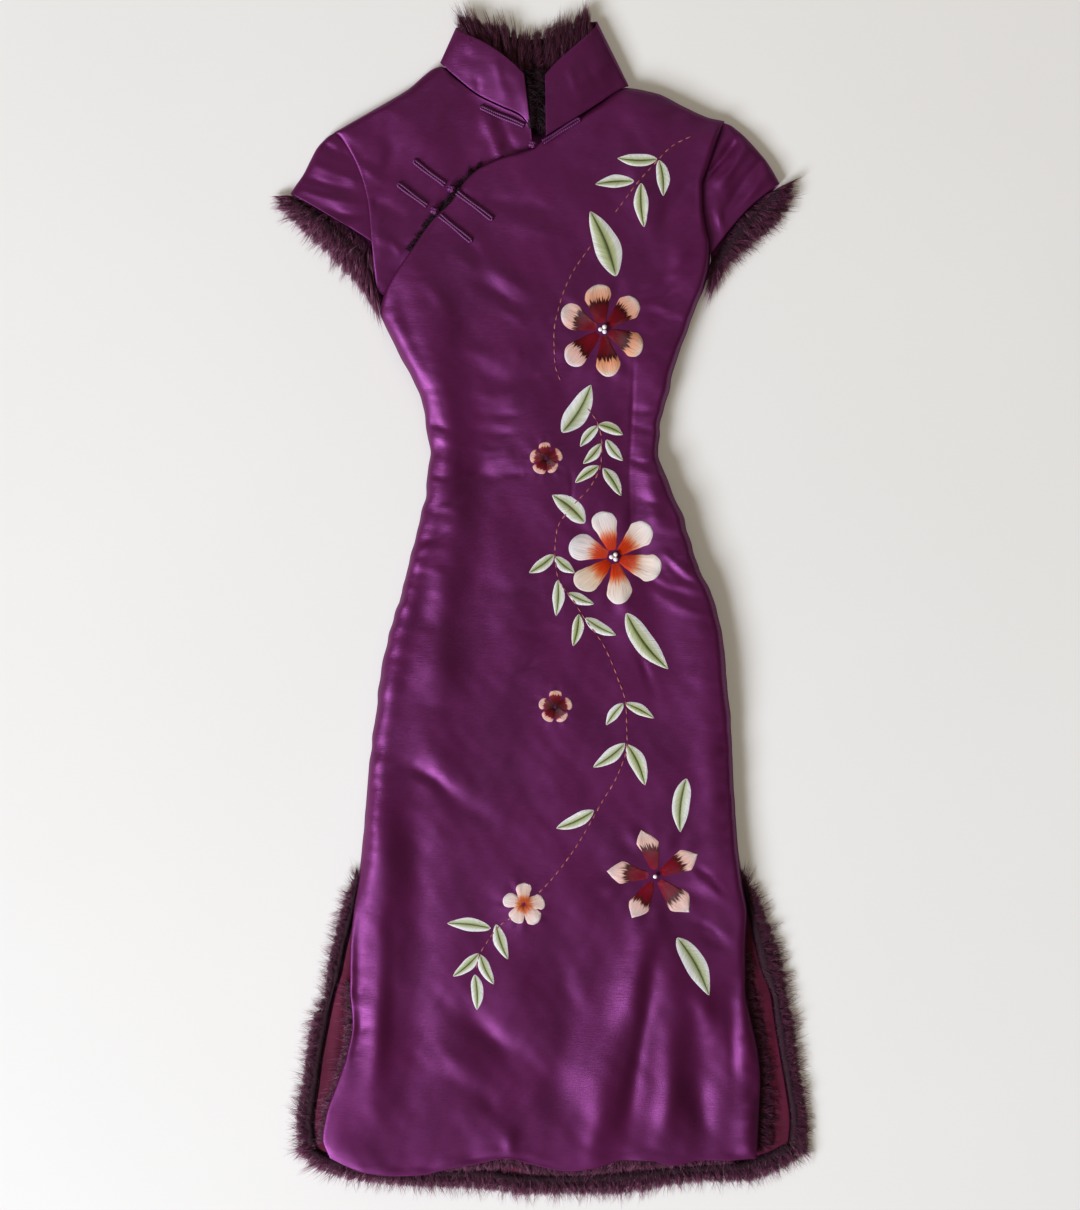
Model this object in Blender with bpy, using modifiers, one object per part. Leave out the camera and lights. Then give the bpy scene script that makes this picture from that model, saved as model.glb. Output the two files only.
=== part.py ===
"""Padded satin qipao with fur trim, lying flat with its front up.

The tables are in millimetres: +X is the wearer's left, +Y runs from hem to collar and +Z is up.
The back panel's outer side lies flat at Z = 0. Objects are made in metres.
"""

import math

import bmesh
import bpy
import numpy as np
from mathutils import Vector
from mathutils.bvhtree import BVHTree

MM = 0.001
OBJECT_NAME = "padded_qipao"

# Driving sizes of the cloth and its trim.
FRONT_WALL = 3.0
UNDER_WALL = 2.5
BACK_WALL = 2.5
LINING_WALL = 1.0
COLLAR_WALL = 2.5
SLEEVE_WALL = 2.0
SEAM_GAP = 0.4
SEAM_HEIGHT = 5.5
SLIT_HEIGHT = 13.0
SLIT_TOP_HEIGHT = 8.0
SIDE_LIFT = 2.3
SLIT_TOP_LIFT = 0.3
LINING_BASE = 2.8
LINING_INSET = 3.0
CORD_RADIUS = 1.3
CORD_SPACING = 3.0
KNOT_SIZE = (4.4, 4.0, 3.6)
KNOT_SWELL = 0.07
REST_GAP = 0.3

# Distance over which a panel rounds up from its right, left, hem and top edge.
FRONT_ROUNDING = (24.0, 24.0, 20.0, 24.0)
UNDER_ROUNDING = (24.0, 10.0, 10.0, 24.0)
BACK_ROUNDING = (9.0, 9.0, 9.0, 9.0)
LINING_ROUNDING = (5.0, 5.0, 5.0, 5.0)
CUFF_ROUNDING = 12.0
CUFF_BACK_ROUNDING = 9.0

# Distance over which a curved hem or top line bends the rows beside it.
LINE_SPREAD = 150.0
UNDER_LINE_SPREAD = 110.0
CALM_SIDE = 14.0
CALM_TOP = 25.0

# Spacing of the grids: typical widths, then the steps between rows and columns.
BODY_WIDTH = 350.0
UNDER_WIDTH = 160.0
FRONT_STEPS = (27.0, 20.0)
UNDER_STEPS = (16.0, 18.0)
BACK_STEPS = (27.0, 42.0)
LINING_STEP = 24.0
LINING_COLUMNS = 15
FUR_SPACING = 11.0

# Sewn sides, from the slit tops to the armpits. Columns: station, y, right x, left x, loft.
SIDE_ROWS = (
    ("slit top", -280, -182.6, 201.5, 17.5),
    ("thigh", -236, -178.0, 196.0, 18.5),
    ("low hip", -156, -171.0, 191.5, 19.5),
    ("full hip", -76, -161.0, 186.0, 20.0),
    ("high hip", -36, -153.0, 181.0, 20.0),
    ("hip curve", 4, -142.0, 172.0, 20.0),
    ("hip curve", 44, -132.0, 155.5, 19.5),
    ("waist curve", 84, -120.0, 143.0, 19.0),
    ("under waist", 124, -113.0, 126.0, 18.5),
    ("waist", 150, -111.0, 118.0, 18.5),
    ("over waist", 176, -114.5, 119.0, 18.5),
    ("rib", 204, -118.5, 125.0, 19.0),
    ("under bust", 244, -138.0, 135.5, 20.0),
    ("bust", 284, -158.5, 150.0, 20.0),
)

# Free edges of the front below the slit tops, hem first. Columns: station, y, right x, left x, loft.
FRONT_SLIT_ROWS = (
    ("hem corner", -554, -211.0, 215.0, 14.5),
    ("hem sweep", -535, -218.0, 216.5, 15.0),
    ("hem sweep", -510, -214.0, 217.5, 15.0),
    ("hem flare", -480, -203.5, 219.0, 15.0),
    ("hem flare", -448, -193.0, 216.5, 15.5),
    ("slit waist", -420, -188.0, 210.5, 15.5),
    ("slit", -384, -190.5, 204.0, 16.0),
    ("slit", -345, -190.3, 204.0, 16.5),
    ("slit", -310, -187.0, 205.5, 17.0),
)

# Front above the armpits. Columns: station, overlap x, y, height, armhole x, y, height, loft.
FRONT_BODICE_ROWS = (
    ("armpit", -161, 292, 5.5, 154, 296, 5.5, 20.0),
    ("overlap foot", -156, 311, 12.0, 163.5, 318, 8.0, 20.0),
    ("overlap curve", -144, 332, 16.8, 168, 338, 10.5, 20.0),
    ("overlap curve", -127, 356, 18.6, 169, 358, 12.0, 20.0),
    ("overlap", -108, 383, 18.6, 164.5, 380, 12.5, 20.0),
    ("overlap", -89, 402, 18.6, 162, 402, 12.5, 20.0),
    ("overlap", -77, 420, 18.6, 162, 420, 12.5, 20.0),
    ("overlap", -73, 425, 18.6, 168, 437, 11.5, 20.0),
    ("overlap", -68, 430, 18.6, 175.5, 459, 10.0, 20.0),
    ("overlap corner", -62, 435, 18.6, 183, 483, 8.0, 20.0),
)

# Under panel, foot first. Columns: station, armhole x, y, height, hidden edge x, y, height, loft.
UNDER_ROWS = (
    ("foot", -163.5, 312, 6.4, -142, 300, 6.4, 6.4),
    ("foot", -165.5, 326, 7.5, -122, 331, 8.5, 8.5),
    ("flap", -168, 345, 10.0, -106, 352, 11.0, 11.0),
    ("flap", -169.6, 364, 12.0, -90, 372, 12.0, 12.3),
    ("flap", -171.6, 394, 12.0, -68, 398, 12.3, 12.3),
    ("flap", -176.6, 419, 12.0, -46, 418, 12.3, 12.3),
    ("flap", -187, 445, 11.0, -22, 432, 12.3, 12.3),
    ("flap", -201.5, 467.5, 9.0, -8, 446, 12.6, 12.3),
    ("neck", -207, 472, 8.0, -10, 475, 13.5, 12.3),
)

# Free edges of the back below the slit tops. Columns: station, right x, y, left x, y.
BACK_SLIT_ROWS = (
    ("hem corner", -226.6, -546, 250.6, -540),
    ("hem sweep", -229.6, -520, 252.4, -518),
    ("hem sweep", -225.6, -487, 248.4, -487),
    ("flare", -221.0, -453, 242.6, -453),
    ("flare", -215.0, -421, 237.4, -421),
    ("flare", -208.4, -391, 233.0, -391),
    ("slit", -202.4, -370, 224.2, -368),
    ("slit", -197.4, -345, 217.3, -342),
    ("slit", -191.5, -322, 211.6, -319),
    ("slit", -186.5, -299, 206.0, -297),
)

# Armholes of the back. Columns: station, right x, y, left x, y.
BACK_ARMHOLE_ROWS = (
    ("armpit", -161, 292, 154, 296),
    ("armhole", -165, 320, 163.5, 318),
    ("armhole", -169, 364, 169, 358),
    ("armhole", -171, 394, 164.5, 382),
    ("armhole", -176, 419, 162, 420),
    ("armhole", -186, 444, 168, 438),
    ("armhole", -201, 467, 175.5, 459),
    ("shoulder tip", -207, 472, 183, 483),
)

# Hem and top lines. Columns: x, y, height.
FRONT_HEM = (
    (-211, -554, 13.0), (-195, -562, 13.0), (-175, -569, 13.0), (-147, -572, 13.0),
    (-121, -571, 13.0), (-97, -566, 13.5), (-67, -560, 14.5), (-33, -554, 16.0),
    (-9, -560, 15.0), (29, -567, 14.0), (53, -564, 14.5), (83, -556, 13.0),
    (107, -556, 15.0), (133, -561, 14.0), (160, -556, 13.0), (187, -556, 14.0),
    (215, -554, 13.0),
)
FRONT_TOP = (
    (-62, 435, 18.6), (-38, 446, 18.6), (-11, 454, 18.6), (4, 464, 18.6), (39, 486, 17.5),
    (60, 500, 15.5), (85, 516, 9.0), (115, 511, 6.5), (144, 497, 6.5), (169, 486, 7.0),
    (183, 483, 8.0),
)
UNDER_HEM = ((-163.5, 312, 6.4), (-152, 307, 6.4), (-142, 300, 6.4))
UNDER_TOP = (
    (-207, 472, 8.0), (-169, 494, 6.5), (-135, 514, 6.5), (-100, 538, 7.5),
    (-86, 526, 10.5), (-63, 508, 12.5), (-41, 497, 13.5), (-20, 487, 13.8), (-10, 475, 13.5),
)
BACK_HEM = (
    (-226.6, -546, 0), (-215, -553.6, 0), (-195, -559.6, 0), (-175, -563.6, 0),
    (-121, -567.6, 0), (-67, -567.0, 0), (-14, -573.6, 0), (40, -572.6, 0), (93, -570.6, 0),
    (134, -564.6, 0), (165, -562.6, 0), (200, -560.6, 0), (226, -553.6, 0), (250.6, -540, 0),
)
BACK_TOP = (
    (-207, 472, 1.5), (-169, 494, 2.3), (-135, 514, 2.3), (-100, 538, 1.5), (-60, 533, 0),
    (-10, 526, 0), (40, 519, 0), (85, 516, 1.5), (115, 511, 2.3), (144, 497, 2.3),
    (169, 486, 2.3), (183, 483, 1.5),
)

# Large soft folds of the front, calm near its sides and top.
# Columns: name, x, y of one end, x, y of the other, width, height.
FRONT_FOLDS = (
    ("bodice trough", -98, 320, -84, -60, 17, -2.6),
    ("hip trough", -147, -81, -69, -195, 13, -2.8),
    ("skirt trough", -121, -414, -14, -452, 13, -2.8),
    ("skirt ridge", 19, -400, 19, -500, 14, 2.6),
    ("hem trough", 67, -420, 81, -556, 12, -3.0),
    ("left skirt ridge", 110, -310, 118, -548, 16, 2.8),
    ("left hollow", 142, -450, 166, -530, 19, -4.2),
    ("hem ridge", 54, -480, 52, -556, 10, 2.2),
    ("right edge roll", -168, -240, -176, -500, 13, 2.4),
    ("bust crease", 99, 294, 142, 292, 8, -2.0),
)

# Sleeves, shoulder first. Columns: armhole x, y, fold x, y, back armhole x, y, height.
RIGHT_SLEEVE = (
    (-208.5, 470.5, -215, 467.0, -208.5, 470.5, 9.0),
    (-197.5, 459, -224, 457, -197.0, 459, 10.5),
    (-187.0, 443, -231, 444, -186.5, 441, 11.5),
    (-177.2, 417, -238, 430, -176.0, 410, 12.0),
    (-172.2, 391, -245, 420, -171.0, 374, 12.0),
    (-171.0, 364, -251, 411, -167.5, 337, 12.0),
)
LEFT_SLEEVE = (
    (184.5, 481, 191, 479, 184.5, 481, 9.0),
    (178.0, 462, 203, 469, 178.0, 461, 11.0),
    (169.5, 439, 216, 455, 169.5, 438, 12.0),
    (163.5, 414, 226, 443, 163.5, 410, 12.5),
    (165.6, 388, 233, 432, 169.0, 372, 12.5),
    (171.2, 352, 239, 421, 171.0, 330, 12.0),
)
RIGHT_CUFF_BOW = 1.0
LEFT_CUFF_BOW = 7.0
CUFF_WAVE = 0.7
SLEEVE_ROWS = 12
SLEEVE_SHARES = (0.0, 0.2, 0.4, 0.58, 0.74, 0.86, 0.93, 0.975, 1.0)

# Collar band from the right wing's front edge round to the left one's.
# Columns: neck seam x, y, height, top edge x, y, height.
COLLAR_BAND = (
    (-10.5, 477, 15.5, -17, 529, 19.5),
    (-20, 489, 15.5, -27, 539, 20.0),
    (-41, 498.8, 15.0, -43, 552, 19.5),
    (-63, 510, 14.0, -60, 562.5, 18.0),
    (-86, 528.2, 12.0, -74, 569.5, 15.0),
    (-98, 539, 9.5, -83, 574, 10.5),
    (-101, 542, 6.5, -85.5, 576.5, 6.5),
    (-97, 541.5, 1.2, -81, 578.5, 1.2),
    (-85, 538.2, 0.5, -70, 577, 0.5),
    (-60, 534.2, 0.0, -46, 571.5, 0.0),
    (-10, 527.2, 0.0, -12, 566, 0.0),
    (40, 520.2, 0.0, 16, 570, 0.0),
    (70, 518.6, 0.5, 38, 578.5, 0.5),
    (82, 518.8, 1.2, 50, 583.5, 1.2),
    (87.8, 519, 6.5, 56, 583.5, 6.5),
    (86, 518, 10.5, 55.5, 579, 11.0),
    (75, 512.6, 13.5, 49, 571.5, 15.5),
    (60, 502.4, 17.0, 38, 561, 19.0),
    (39, 488.4, 19.5, 23, 548, 21.5),
    (20, 477, 20.5, 12, 537, 22.5),
    (5, 467.6, 21.0, 4, 528, 23.0),
)

# Fur strips. Columns: hidden or sewn edge x, y, outer edge x, y.
COLLAR_FUR = (
    (-74, 553, -79, 585), (-66, 545, -70, 583), (-55, 533, -60, 581), (-45, 525, -50, 579),
    (-35, 514, -38, 577), (-25, 500, -27, 574), (-14, 478, -16, 572), (-3, 470, -5, 575),
    (8, 474, 6, 577), (20, 486, 17, 580), (31, 498, 28, 583), (40, 510, 36, 586),
    (48, 524, 42, 589), (52, 536, 46, 591),
)
RIGHT_CUFF_FUR = (
    (-243, 407, -265, 408), (-238, 402.5, -260, 398), (-231, 398, -252, 389),
    (-223, 392, -242, 379), (-214, 386, -232, 369), (-205, 379, -221, 359),
    (-196, 371.5, -209, 348), (-187, 364, -199, 337), (-180, 356, -189, 326),
    (-175, 348, -180, 315), (-171.5, 340, -173, 305), (-168.8, 332, -167, 296),
)
LEFT_CUFF_FUR = (
    (233, 413, 252, 423), (228, 407, 250, 410), (221, 400, 245, 396), (213, 393, 236, 384),
    (205, 386, 226, 374), (198, 378, 216, 366), (191, 369, 206, 359), (185, 360, 196, 351),
    (180, 351, 187, 341), (176, 343, 179, 329), (173, 337, 173, 318),
)
BACK_FUR_RIGHT = (
    (-183.6, -282, -186, -278), (-187, -299, -195, -297), (-192, -322, -201, -320),
    (-197.8, -345, -207, -344), (-202.8, -370, -212, -368), (-208.8, -391, -213, -389),
    (-215.4, -421, -227, -418), (-221.4, -453, -233, -451), (-226, -487, -238, -486),
    (-230, -518, -243, -517), (-228, -541, -242, -543),
)
BACK_FUR_HEM = (
    (-226.6, -546.6, -239, -551), (-215, -554.2, -226, -564), (-195, -560.2, -199, -573),
    (-175, -564.2, -177, -577), (-121, -568.2, -121, -582), (-67, -568.2, -67, -584),
    (-14, -574.2, -14, -590), (40, -573.2, 40, -590), (93, -571.2, 93, -588),
    (134, -565.2, 135, -580), (165, -563.2, 166, -577), (200, -561.2, 203, -577),
    (226, -554.2, 233, -568), (249, -541.6, 259, -553),
)
BACK_FUR_LEFT = (
    (201.8, -282, 204.4, -278), (206.5, -297, 215, -294), (212.2, -319, 224, -316),
    (217.8, -342, 234, -340), (224.7, -368, 241, -364), (233.5, -391, 243, -388),
    (237.9, -421, 251, -419), (243.1, -453, 255, -452), (248.9, -487, 260, -487),
    (252.9, -518, 265, -517), (252.2, -536, 266, -541),
)
FRONT_FUR_RIGHT = (
    (-177, -384, -194, -384), (-174, -420, -194, -420), (-179, -448, -198, -449),
    (-189, -480, -208, -482), (-199, -508, -219, -512), (-203, -532, -222, -537),
)
FRONT_FUR_HEM = (
    (-190, -544, -203, -556), (-170, -552, -177, -562), (-145, -556, -147, -565.5),
    (-121, -555, -121, -566), (-97, -552, -97, -566), (-67, -547, -67, -566),
    (-33, -542, -33, -564), (-9, -546, -9, -569), (29, -553, 29, -571.5),
    (53, -551, 53, -570), (83, -544, 83, -566), (107, -543, 107, -564),
    (133, -546, 133, -562.5), (160, -543, 160, -561), (185, -542, 188, -559.5),
)
FRONT_FUR_LEFT = (
    (190, -352, 209, -352), (190, -384, 212, -382), (197, -420, 221, -418),
    (203, -448, 227, -447), (205, -480, 231, -480), (204, -512, 232, -513),
    (202, -536, 231, -540),
)
OVERLAP_FUR = (
    (-118, 342, -134, 354), (-108, 353, -124, 366), (-100, 364, -117, 378),
    (-92, 375, -110, 388), (-80, 388, -97, 402), (-68, 402, -84, 417),
    (-60, 415, -74, 430), (-50, 422, -61, 440),
)
FUR_TUFT = 2.2

# Heights of the fur strips. Columns: inner low, inner high, outer low, outer high.
FLOOR_FUR_HEIGHTS = (0.0, 8.5, 0.0, 7.5)
FRONT_FUR_HEIGHTS = (4.1, 8.2, 4.1, 8.6)
CUFF_FUR_HEIGHTS = (2.4, 9.0, 2.4, 9.4)
COLLAR_FUR_HEIGHTS = (4.0, 8.5, 4.0, 9.5)
OVERLAP_FUR_HEIGHTS = (12.8, 15.2, 12.9, 16.5)

# Section of a fur strip. Columns: share of the way out, share of the height.
FUR_SECTION = (
    (0.0, 0.45), (0.14, 0.88), (0.42, 1.0), (0.76, 0.8),
    (1.0, 0.34), (0.84, 0.0), (0.42, 0.0), (0.12, 0.0),
)

# Frog closures. Columns: outer end of the right arm, its knot end, outer end of the left arm,
# its knot end, and the knot, each as x, y.
FROGS = (
    ((-59, 496), (-17, 478), (37, 483), (2, 461), (-9, 459)),
    ((-126, 442), (-96, 419), (-50, 385), (-84, 411), (-90, 415)),
    ((-142, 419), (-114, 398), (-71, 363), (-101, 388), (-107, 393)),
)

# Colour as red, green, blue, then roughness, for each finish.
FINISHES = {
    "plum_satin": ((0.098, 0.022, 0.105), 0.42),
    "dusty_lining": ((0.165, 0.040, 0.062), 0.60),
    "brown_fur": ((0.042, 0.012, 0.016), 0.90),
    "plum_cord": ((0.085, 0.020, 0.085), 0.50),
}


def smooth_through(knots, values, at):
    """Values on a smooth curve through the rows of values at their knots, with no overshoot."""
    knots = np.asarray(knots, float)
    values = np.asarray(values, float)
    at = np.asarray(at, float)
    flat = values.reshape(len(values), -1)
    gaps = np.diff(knots)[:, None]
    rates = np.diff(flat, axis=0) / gaps
    slopes = np.zeros_like(flat)
    slopes[0] = rates[0]
    slopes[-1] = rates[-1]
    same_way = rates[:-1] * rates[1:] > 0.0
    total = np.where(same_way, rates[:-1] + rates[1:], 1.0)
    slopes[1:-1] = np.where(same_way, 2.0 * rates[:-1] * rates[1:] / total, 0.0)
    low = np.clip(np.searchsorted(knots, at, side="right") - 1, 0, len(knots) - 2)
    span = gaps[low]
    t = (at[:, None] - knots[low][:, None]) / span
    start = flat[low] * (2 * t**3 - 3 * t**2 + 1) + slopes[low] * span * (t**3 - 2 * t**2 + t)
    end = flat[low + 1] * (3 * t**2 - 2 * t**3) + slopes[low + 1] * span * (t**3 - t**2)
    return (start + end).reshape((len(at),) + values.shape[1:])


def rounded(distance, radius):
    """Share of its full height that a rounded edge has at a distance from it."""
    near = np.clip(distance / radius, 0.0, 1.0)
    return np.sqrt(1.0 - (1.0 - near) ** 2)


def fade(distance, reach):
    """Falls softly from 1 at distance 0 to 0 at the reach."""
    t = np.clip(1.0 - distance / reach, 0.0, 1.0)
    return t * t * (3.0 - 2.0 * t)


def fold_height(folds, x, y):
    """Height that the soft folds add at the places x, y."""
    total = np.zeros_like(x)
    for _name, x0, y0, x1, y1, width, height in folds:
        run = np.array((x1 - x0, y1 - y0), float)
        along = ((x - x0) * run[0] + (y - y0) * run[1]) / (run @ run)
        nearest = np.clip(along, 0.0, 1.0)
        distance = np.hypot(x - x0 - nearest * run[0], y - y0 - nearest * run[1])
        taper = 0.55 + 0.45 * np.sin(math.pi * nearest)
        total += height * taper * np.exp(-((distance / width) ** 2))
    return total


class Panel:
    """A panel of cloth between two side edges, a hem line and a top line."""

    def __init__(self, rows, hem, top, rounding, folds=(), spread=LINE_SPREAD):
        self.right = np.array([row[0:3] for row in rows], float)
        self.left = np.array([row[3:6] for row in rows], float)
        self.loft = np.array([row[6] for row in rows], float)
        middle = (self.right + self.left)[:, :2] / 2.0
        steps = np.hypot(*np.diff(middle, axis=0).T)
        self.knots = np.concatenate(((0.0,), np.cumsum(steps)))
        self.length = self.knots[-1]
        self.hem = np.array(hem, float)
        self.top = np.array(top, float)
        self.rounding = rounding
        self.folds = folds
        self.spread = spread

    def line(self, table, across):
        """Points of a hem or top line at shares of the way across."""
        share = (table[:, 0] - table[0, 0]) / (table[-1, 0] - table[0, 0])
        return smooth_through(share, table, across)

    def points(self, along, across):
        """Outer points in a grid, one row for each distance along the panel."""
        right = smooth_through(self.knots, self.right, along)[:, None, :]
        left = smooth_through(self.knots, self.left, along)[:, None, :]
        loft = smooth_through(self.knots, self.loft, along)[:, None]
        share = across[None, :, None]
        spot = right + (left - right) * share
        height_sides = spot[:, :, 2]
        hem = self.line(self.hem, across)
        top = self.line(self.top, across)
        hem_chord = self.hem[0] + (self.hem[-1] - self.hem[0]) * across[:, None]
        top_chord = self.top[0] + (self.top[-1] - self.top[0]) * across[:, None]
        from_hem = along[:, None]
        from_top = self.length - from_hem
        spot = spot[:, :, :2]
        spot = spot + fade(from_hem, self.spread)[:, :, None] * (hem - hem_chord)[None, :, :2]
        spot = spot + fade(from_top, self.spread)[:, :, None] * (top - top_chord)[None, :, :2]
        width = np.hypot(*(left - right)[:, :, :2].transpose(2, 0, 1))
        from_right = width * across[None, :]
        from_left = width - from_right
        edges = (
            (from_right, right[:, :, 2], self.rounding[0]),
            (from_left, left[:, :, 2], self.rounding[1]),
            (from_hem + 0 * width, hem[None, :, 2], self.rounding[2]),
            (from_top + 0 * width, top[None, :, 2], self.rounding[3]),
        )
        rise = np.ones_like(height_sides)
        weights = np.zeros_like(height_sides)
        blend = np.zeros_like(height_sides)
        for distance, height, radius in edges:
            rise = rise * rounded(distance, radius)
            weight = 1.0 / (distance + 0.5) ** 2
            weights = weights + weight
            blend = blend + weight * height
        edge_height = blend / weights
        height = edge_height + (loft - edge_height) * rise
        margin = np.minimum(from_right, from_left)
        calm = np.clip(margin / CALM_SIDE, 0.0, 1.0) * np.clip(from_top / CALM_TOP, 0.0, 1.0)
        height = height + calm * fold_height(self.folds, spot[:, :, 0], spot[:, :, 1])
        return np.dstack((spot, height))


def stations(length, step, edge_start, edge_end):
    """Distances from 0 to length: close together at the ends given, then evenly spaced."""
    start = [d for d in edge_start]
    end = [length - d for d in reversed(edge_end)]
    count = max(2, round((end[0] - start[-1]) / step))
    middle = np.linspace(start[-1], end[0], count + 1)
    return np.array(start[:-1] + list(middle) + end[1:])


def new_finish(name):
    """A Principled material of the named finish."""
    colour, roughness = FINISHES[name]
    material = bpy.data.materials.new(name)
    material.use_nodes = True
    shader = material.node_tree.nodes["Principled BSDF"]
    shader.inputs["Base Color"].default_value = (*colour, 1.0)
    shader.inputs["Roughness"].default_value = roughness
    shader.inputs["Metallic"].default_value = 0.0
    return material


def add_object(name, data, finish, collection):
    """A new object with its own material, in the object's collection."""
    obj = bpy.data.objects.new(name, data)
    data.materials.append(new_finish(finish))
    collection.objects.link(obj)
    return obj


def cloth_object(name, grid, wall, finish, collection, flip=False):
    """A wall of cloth inside a grid of outer points, given in millimetres."""
    rows, columns = grid.shape[:2]
    mesh = bpy.data.meshes.new(name)
    bm = bmesh.new()
    bmesh.ops.create_grid(bm, x_segments=columns - 1, y_segments=rows - 1, size=0.5)
    for vert in bm.verts:
        column = round((vert.co.x + 0.5) * (columns - 1))
        row = round((vert.co.y + 0.5) * (rows - 1))
        vert.co = Vector(grid[row, column]) * MM
    if flip:
        bmesh.ops.reverse_faces(bm, faces=bm.faces)
    bm.to_mesh(mesh)
    bm.free()
    mesh.shade_smooth()
    obj = add_object(name, mesh, finish, collection)
    solidify = obj.modifiers.new("wall", "SOLIDIFY")
    solidify.thickness = wall * MM
    solidify.offset = -1.0
    return obj


def fur_object(name, rows, heights, collection):
    """A puffy strip of fur along the rows, with the heights of its inner and outer edge."""
    table = np.array(rows, float)
    middle = (table[:, :2] + table[:, 2:]) / 2.0
    steps = np.hypot(*np.diff(middle, axis=0).T)
    knots = np.concatenate(((0.0,), np.cumsum(steps)))
    count = max(3, round(knots[-1] / FUR_SPACING))
    at = np.linspace(0.0, knots[-1], count + 1)
    strip = smooth_through(knots, table, at)
    section = np.array(FUR_SECTION)
    low = heights[0] + (heights[2] - heights[0]) * section[:, 0]
    high = heights[1] + (heights[3] - heights[1]) * section[:, 0]
    mesh = bpy.data.meshes.new(name)
    bm = bmesh.new()
    rings = []
    for index, (inner_x, inner_y, outer_x, outer_y) in enumerate(strip):
        inner = np.array((inner_x, inner_y))
        reach = np.array((outer_x, outer_y)) - inner
        tuft = FUR_TUFT * (0.5 if index % 2 else -0.5) * (1.0 + 0.4 * math.sin(2.3 * index))
        length = np.hypot(*reach)
        ends = 0.35 if index in (0, count) else 1.0
        ring = []
        for share, low_z, high_z, lift in zip(section[:, 0], low, high, section[:, 1]):
            flat = inner + reach * share * (1.0 + tuft / length * share)
            middle_z = (low_z + high_z) / 2.0
            z = middle_z + (low_z + (high_z - low_z) * lift - middle_z) * ends
            ring.append(bm.verts.new(Vector((flat[0], flat[1], z)) * MM))
        rings.append(ring)
    sides = len(section)
    for first, second in zip(rings, rings[1:]):
        for side in range(sides):
            after = (side + 1) % sides
            bm.faces.new((first[side], first[after], second[after], second[side]))
    bm.faces.new(rings[0])
    bm.faces.new(reversed(rings[-1]))
    bmesh.ops.recalc_face_normals(bm, faces=bm.faces)
    bm.to_mesh(mesh)
    bm.free()
    mesh.shade_smooth()
    return add_object(name, mesh, "brown_fur", collection)


def front_panel():
    """The front, from the hem to the left shoulder and the slanting overlap edge."""
    rows = []
    for _name, y, right, left, loft in FRONT_SLIT_ROWS:
        rows.append((right, y, SLIT_HEIGHT, left, y, SLIT_HEIGHT, loft))
    for _name, y, right, left, loft in SIDE_ROWS:
        edge = SLIT_TOP_HEIGHT if y == SIDE_ROWS[0][1] else SEAM_HEIGHT
        rows.append((right, y, edge, left, y, edge, loft))
    rows.extend(row[1:] for row in FRONT_BODICE_ROWS)
    return Panel(rows, FRONT_HEM, FRONT_TOP, FRONT_ROUNDING, FRONT_FOLDS)


def under_panel():
    """The right shoulder piece with the flap under the front's edge."""
    rows = [row[1:] for row in UNDER_ROWS]
    return Panel(rows, UNDER_HEM, UNDER_TOP, UNDER_ROUNDING, spread=UNDER_LINE_SPREAD)


def back_panel():
    """The back, flat on its outer side, with its sewn edges curling up to the front's."""
    rows = []
    for _name, right, right_y, left, left_y in BACK_SLIT_ROWS:
        rows.append((right, right_y, 0.0, left, left_y, 0.0, 0.0))
    for _name, y, right, left, _loft in SIDE_ROWS:
        lift = SLIT_TOP_LIFT if y == SIDE_ROWS[0][1] else SIDE_LIFT
        rows.append((right + SEAM_GAP, y, lift, left - SEAM_GAP, y, lift, 0.0))
    for _name, right, right_y, left, left_y in BACK_ARMHOLE_ROWS:
        lift = SIDE_LIFT if right_y == BACK_ARMHOLE_ROWS[0][2] else 0.0
        rows.append((right + SEAM_GAP, right_y, lift, left - SEAM_GAP, left_y, lift, 0.0))
    return Panel(rows, BACK_HEM, BACK_TOP, BACK_ROUNDING)


def lining_grid():
    """The lining over the back's skirt, just inside its free edges."""
    rows = []
    for _name, right, right_y, left, left_y in BACK_SLIT_ROWS:
        rows.append((right + LINING_INSET, right_y, LINING_BASE,
                     left - LINING_INSET, left_y, LINING_BASE, LINING_BASE))
    _name, y, right, left, _loft = SIDE_ROWS[0]
    rows.append((right + 4 * LINING_INSET, y + LINING_INSET, LINING_BASE,
                 left - 4 * LINING_INSET, y + LINING_INSET, LINING_BASE, LINING_BASE))
    narrower = 1.0 - 2.0 * LINING_INSET / (BACK_HEM[-1][0] - BACK_HEM[0][0])
    hem = [(x * narrower, y + LINING_INSET, LINING_BASE) for x, y, _z in BACK_HEM]
    hem[0] = rows[0][0:3]
    hem[-1] = rows[0][3:6]
    top = (rows[-1][0:3], rows[-1][3:6])
    panel = Panel(rows, hem, top, LINING_ROUNDING)
    along = stations(panel.length, LINING_STEP, (0.0,), (0.0,))
    grid = panel.points(along, np.linspace(0.0, 1.0, LINING_COLUMNS))
    grid[:, :, 2] += LINING_WALL
    return grid


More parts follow.
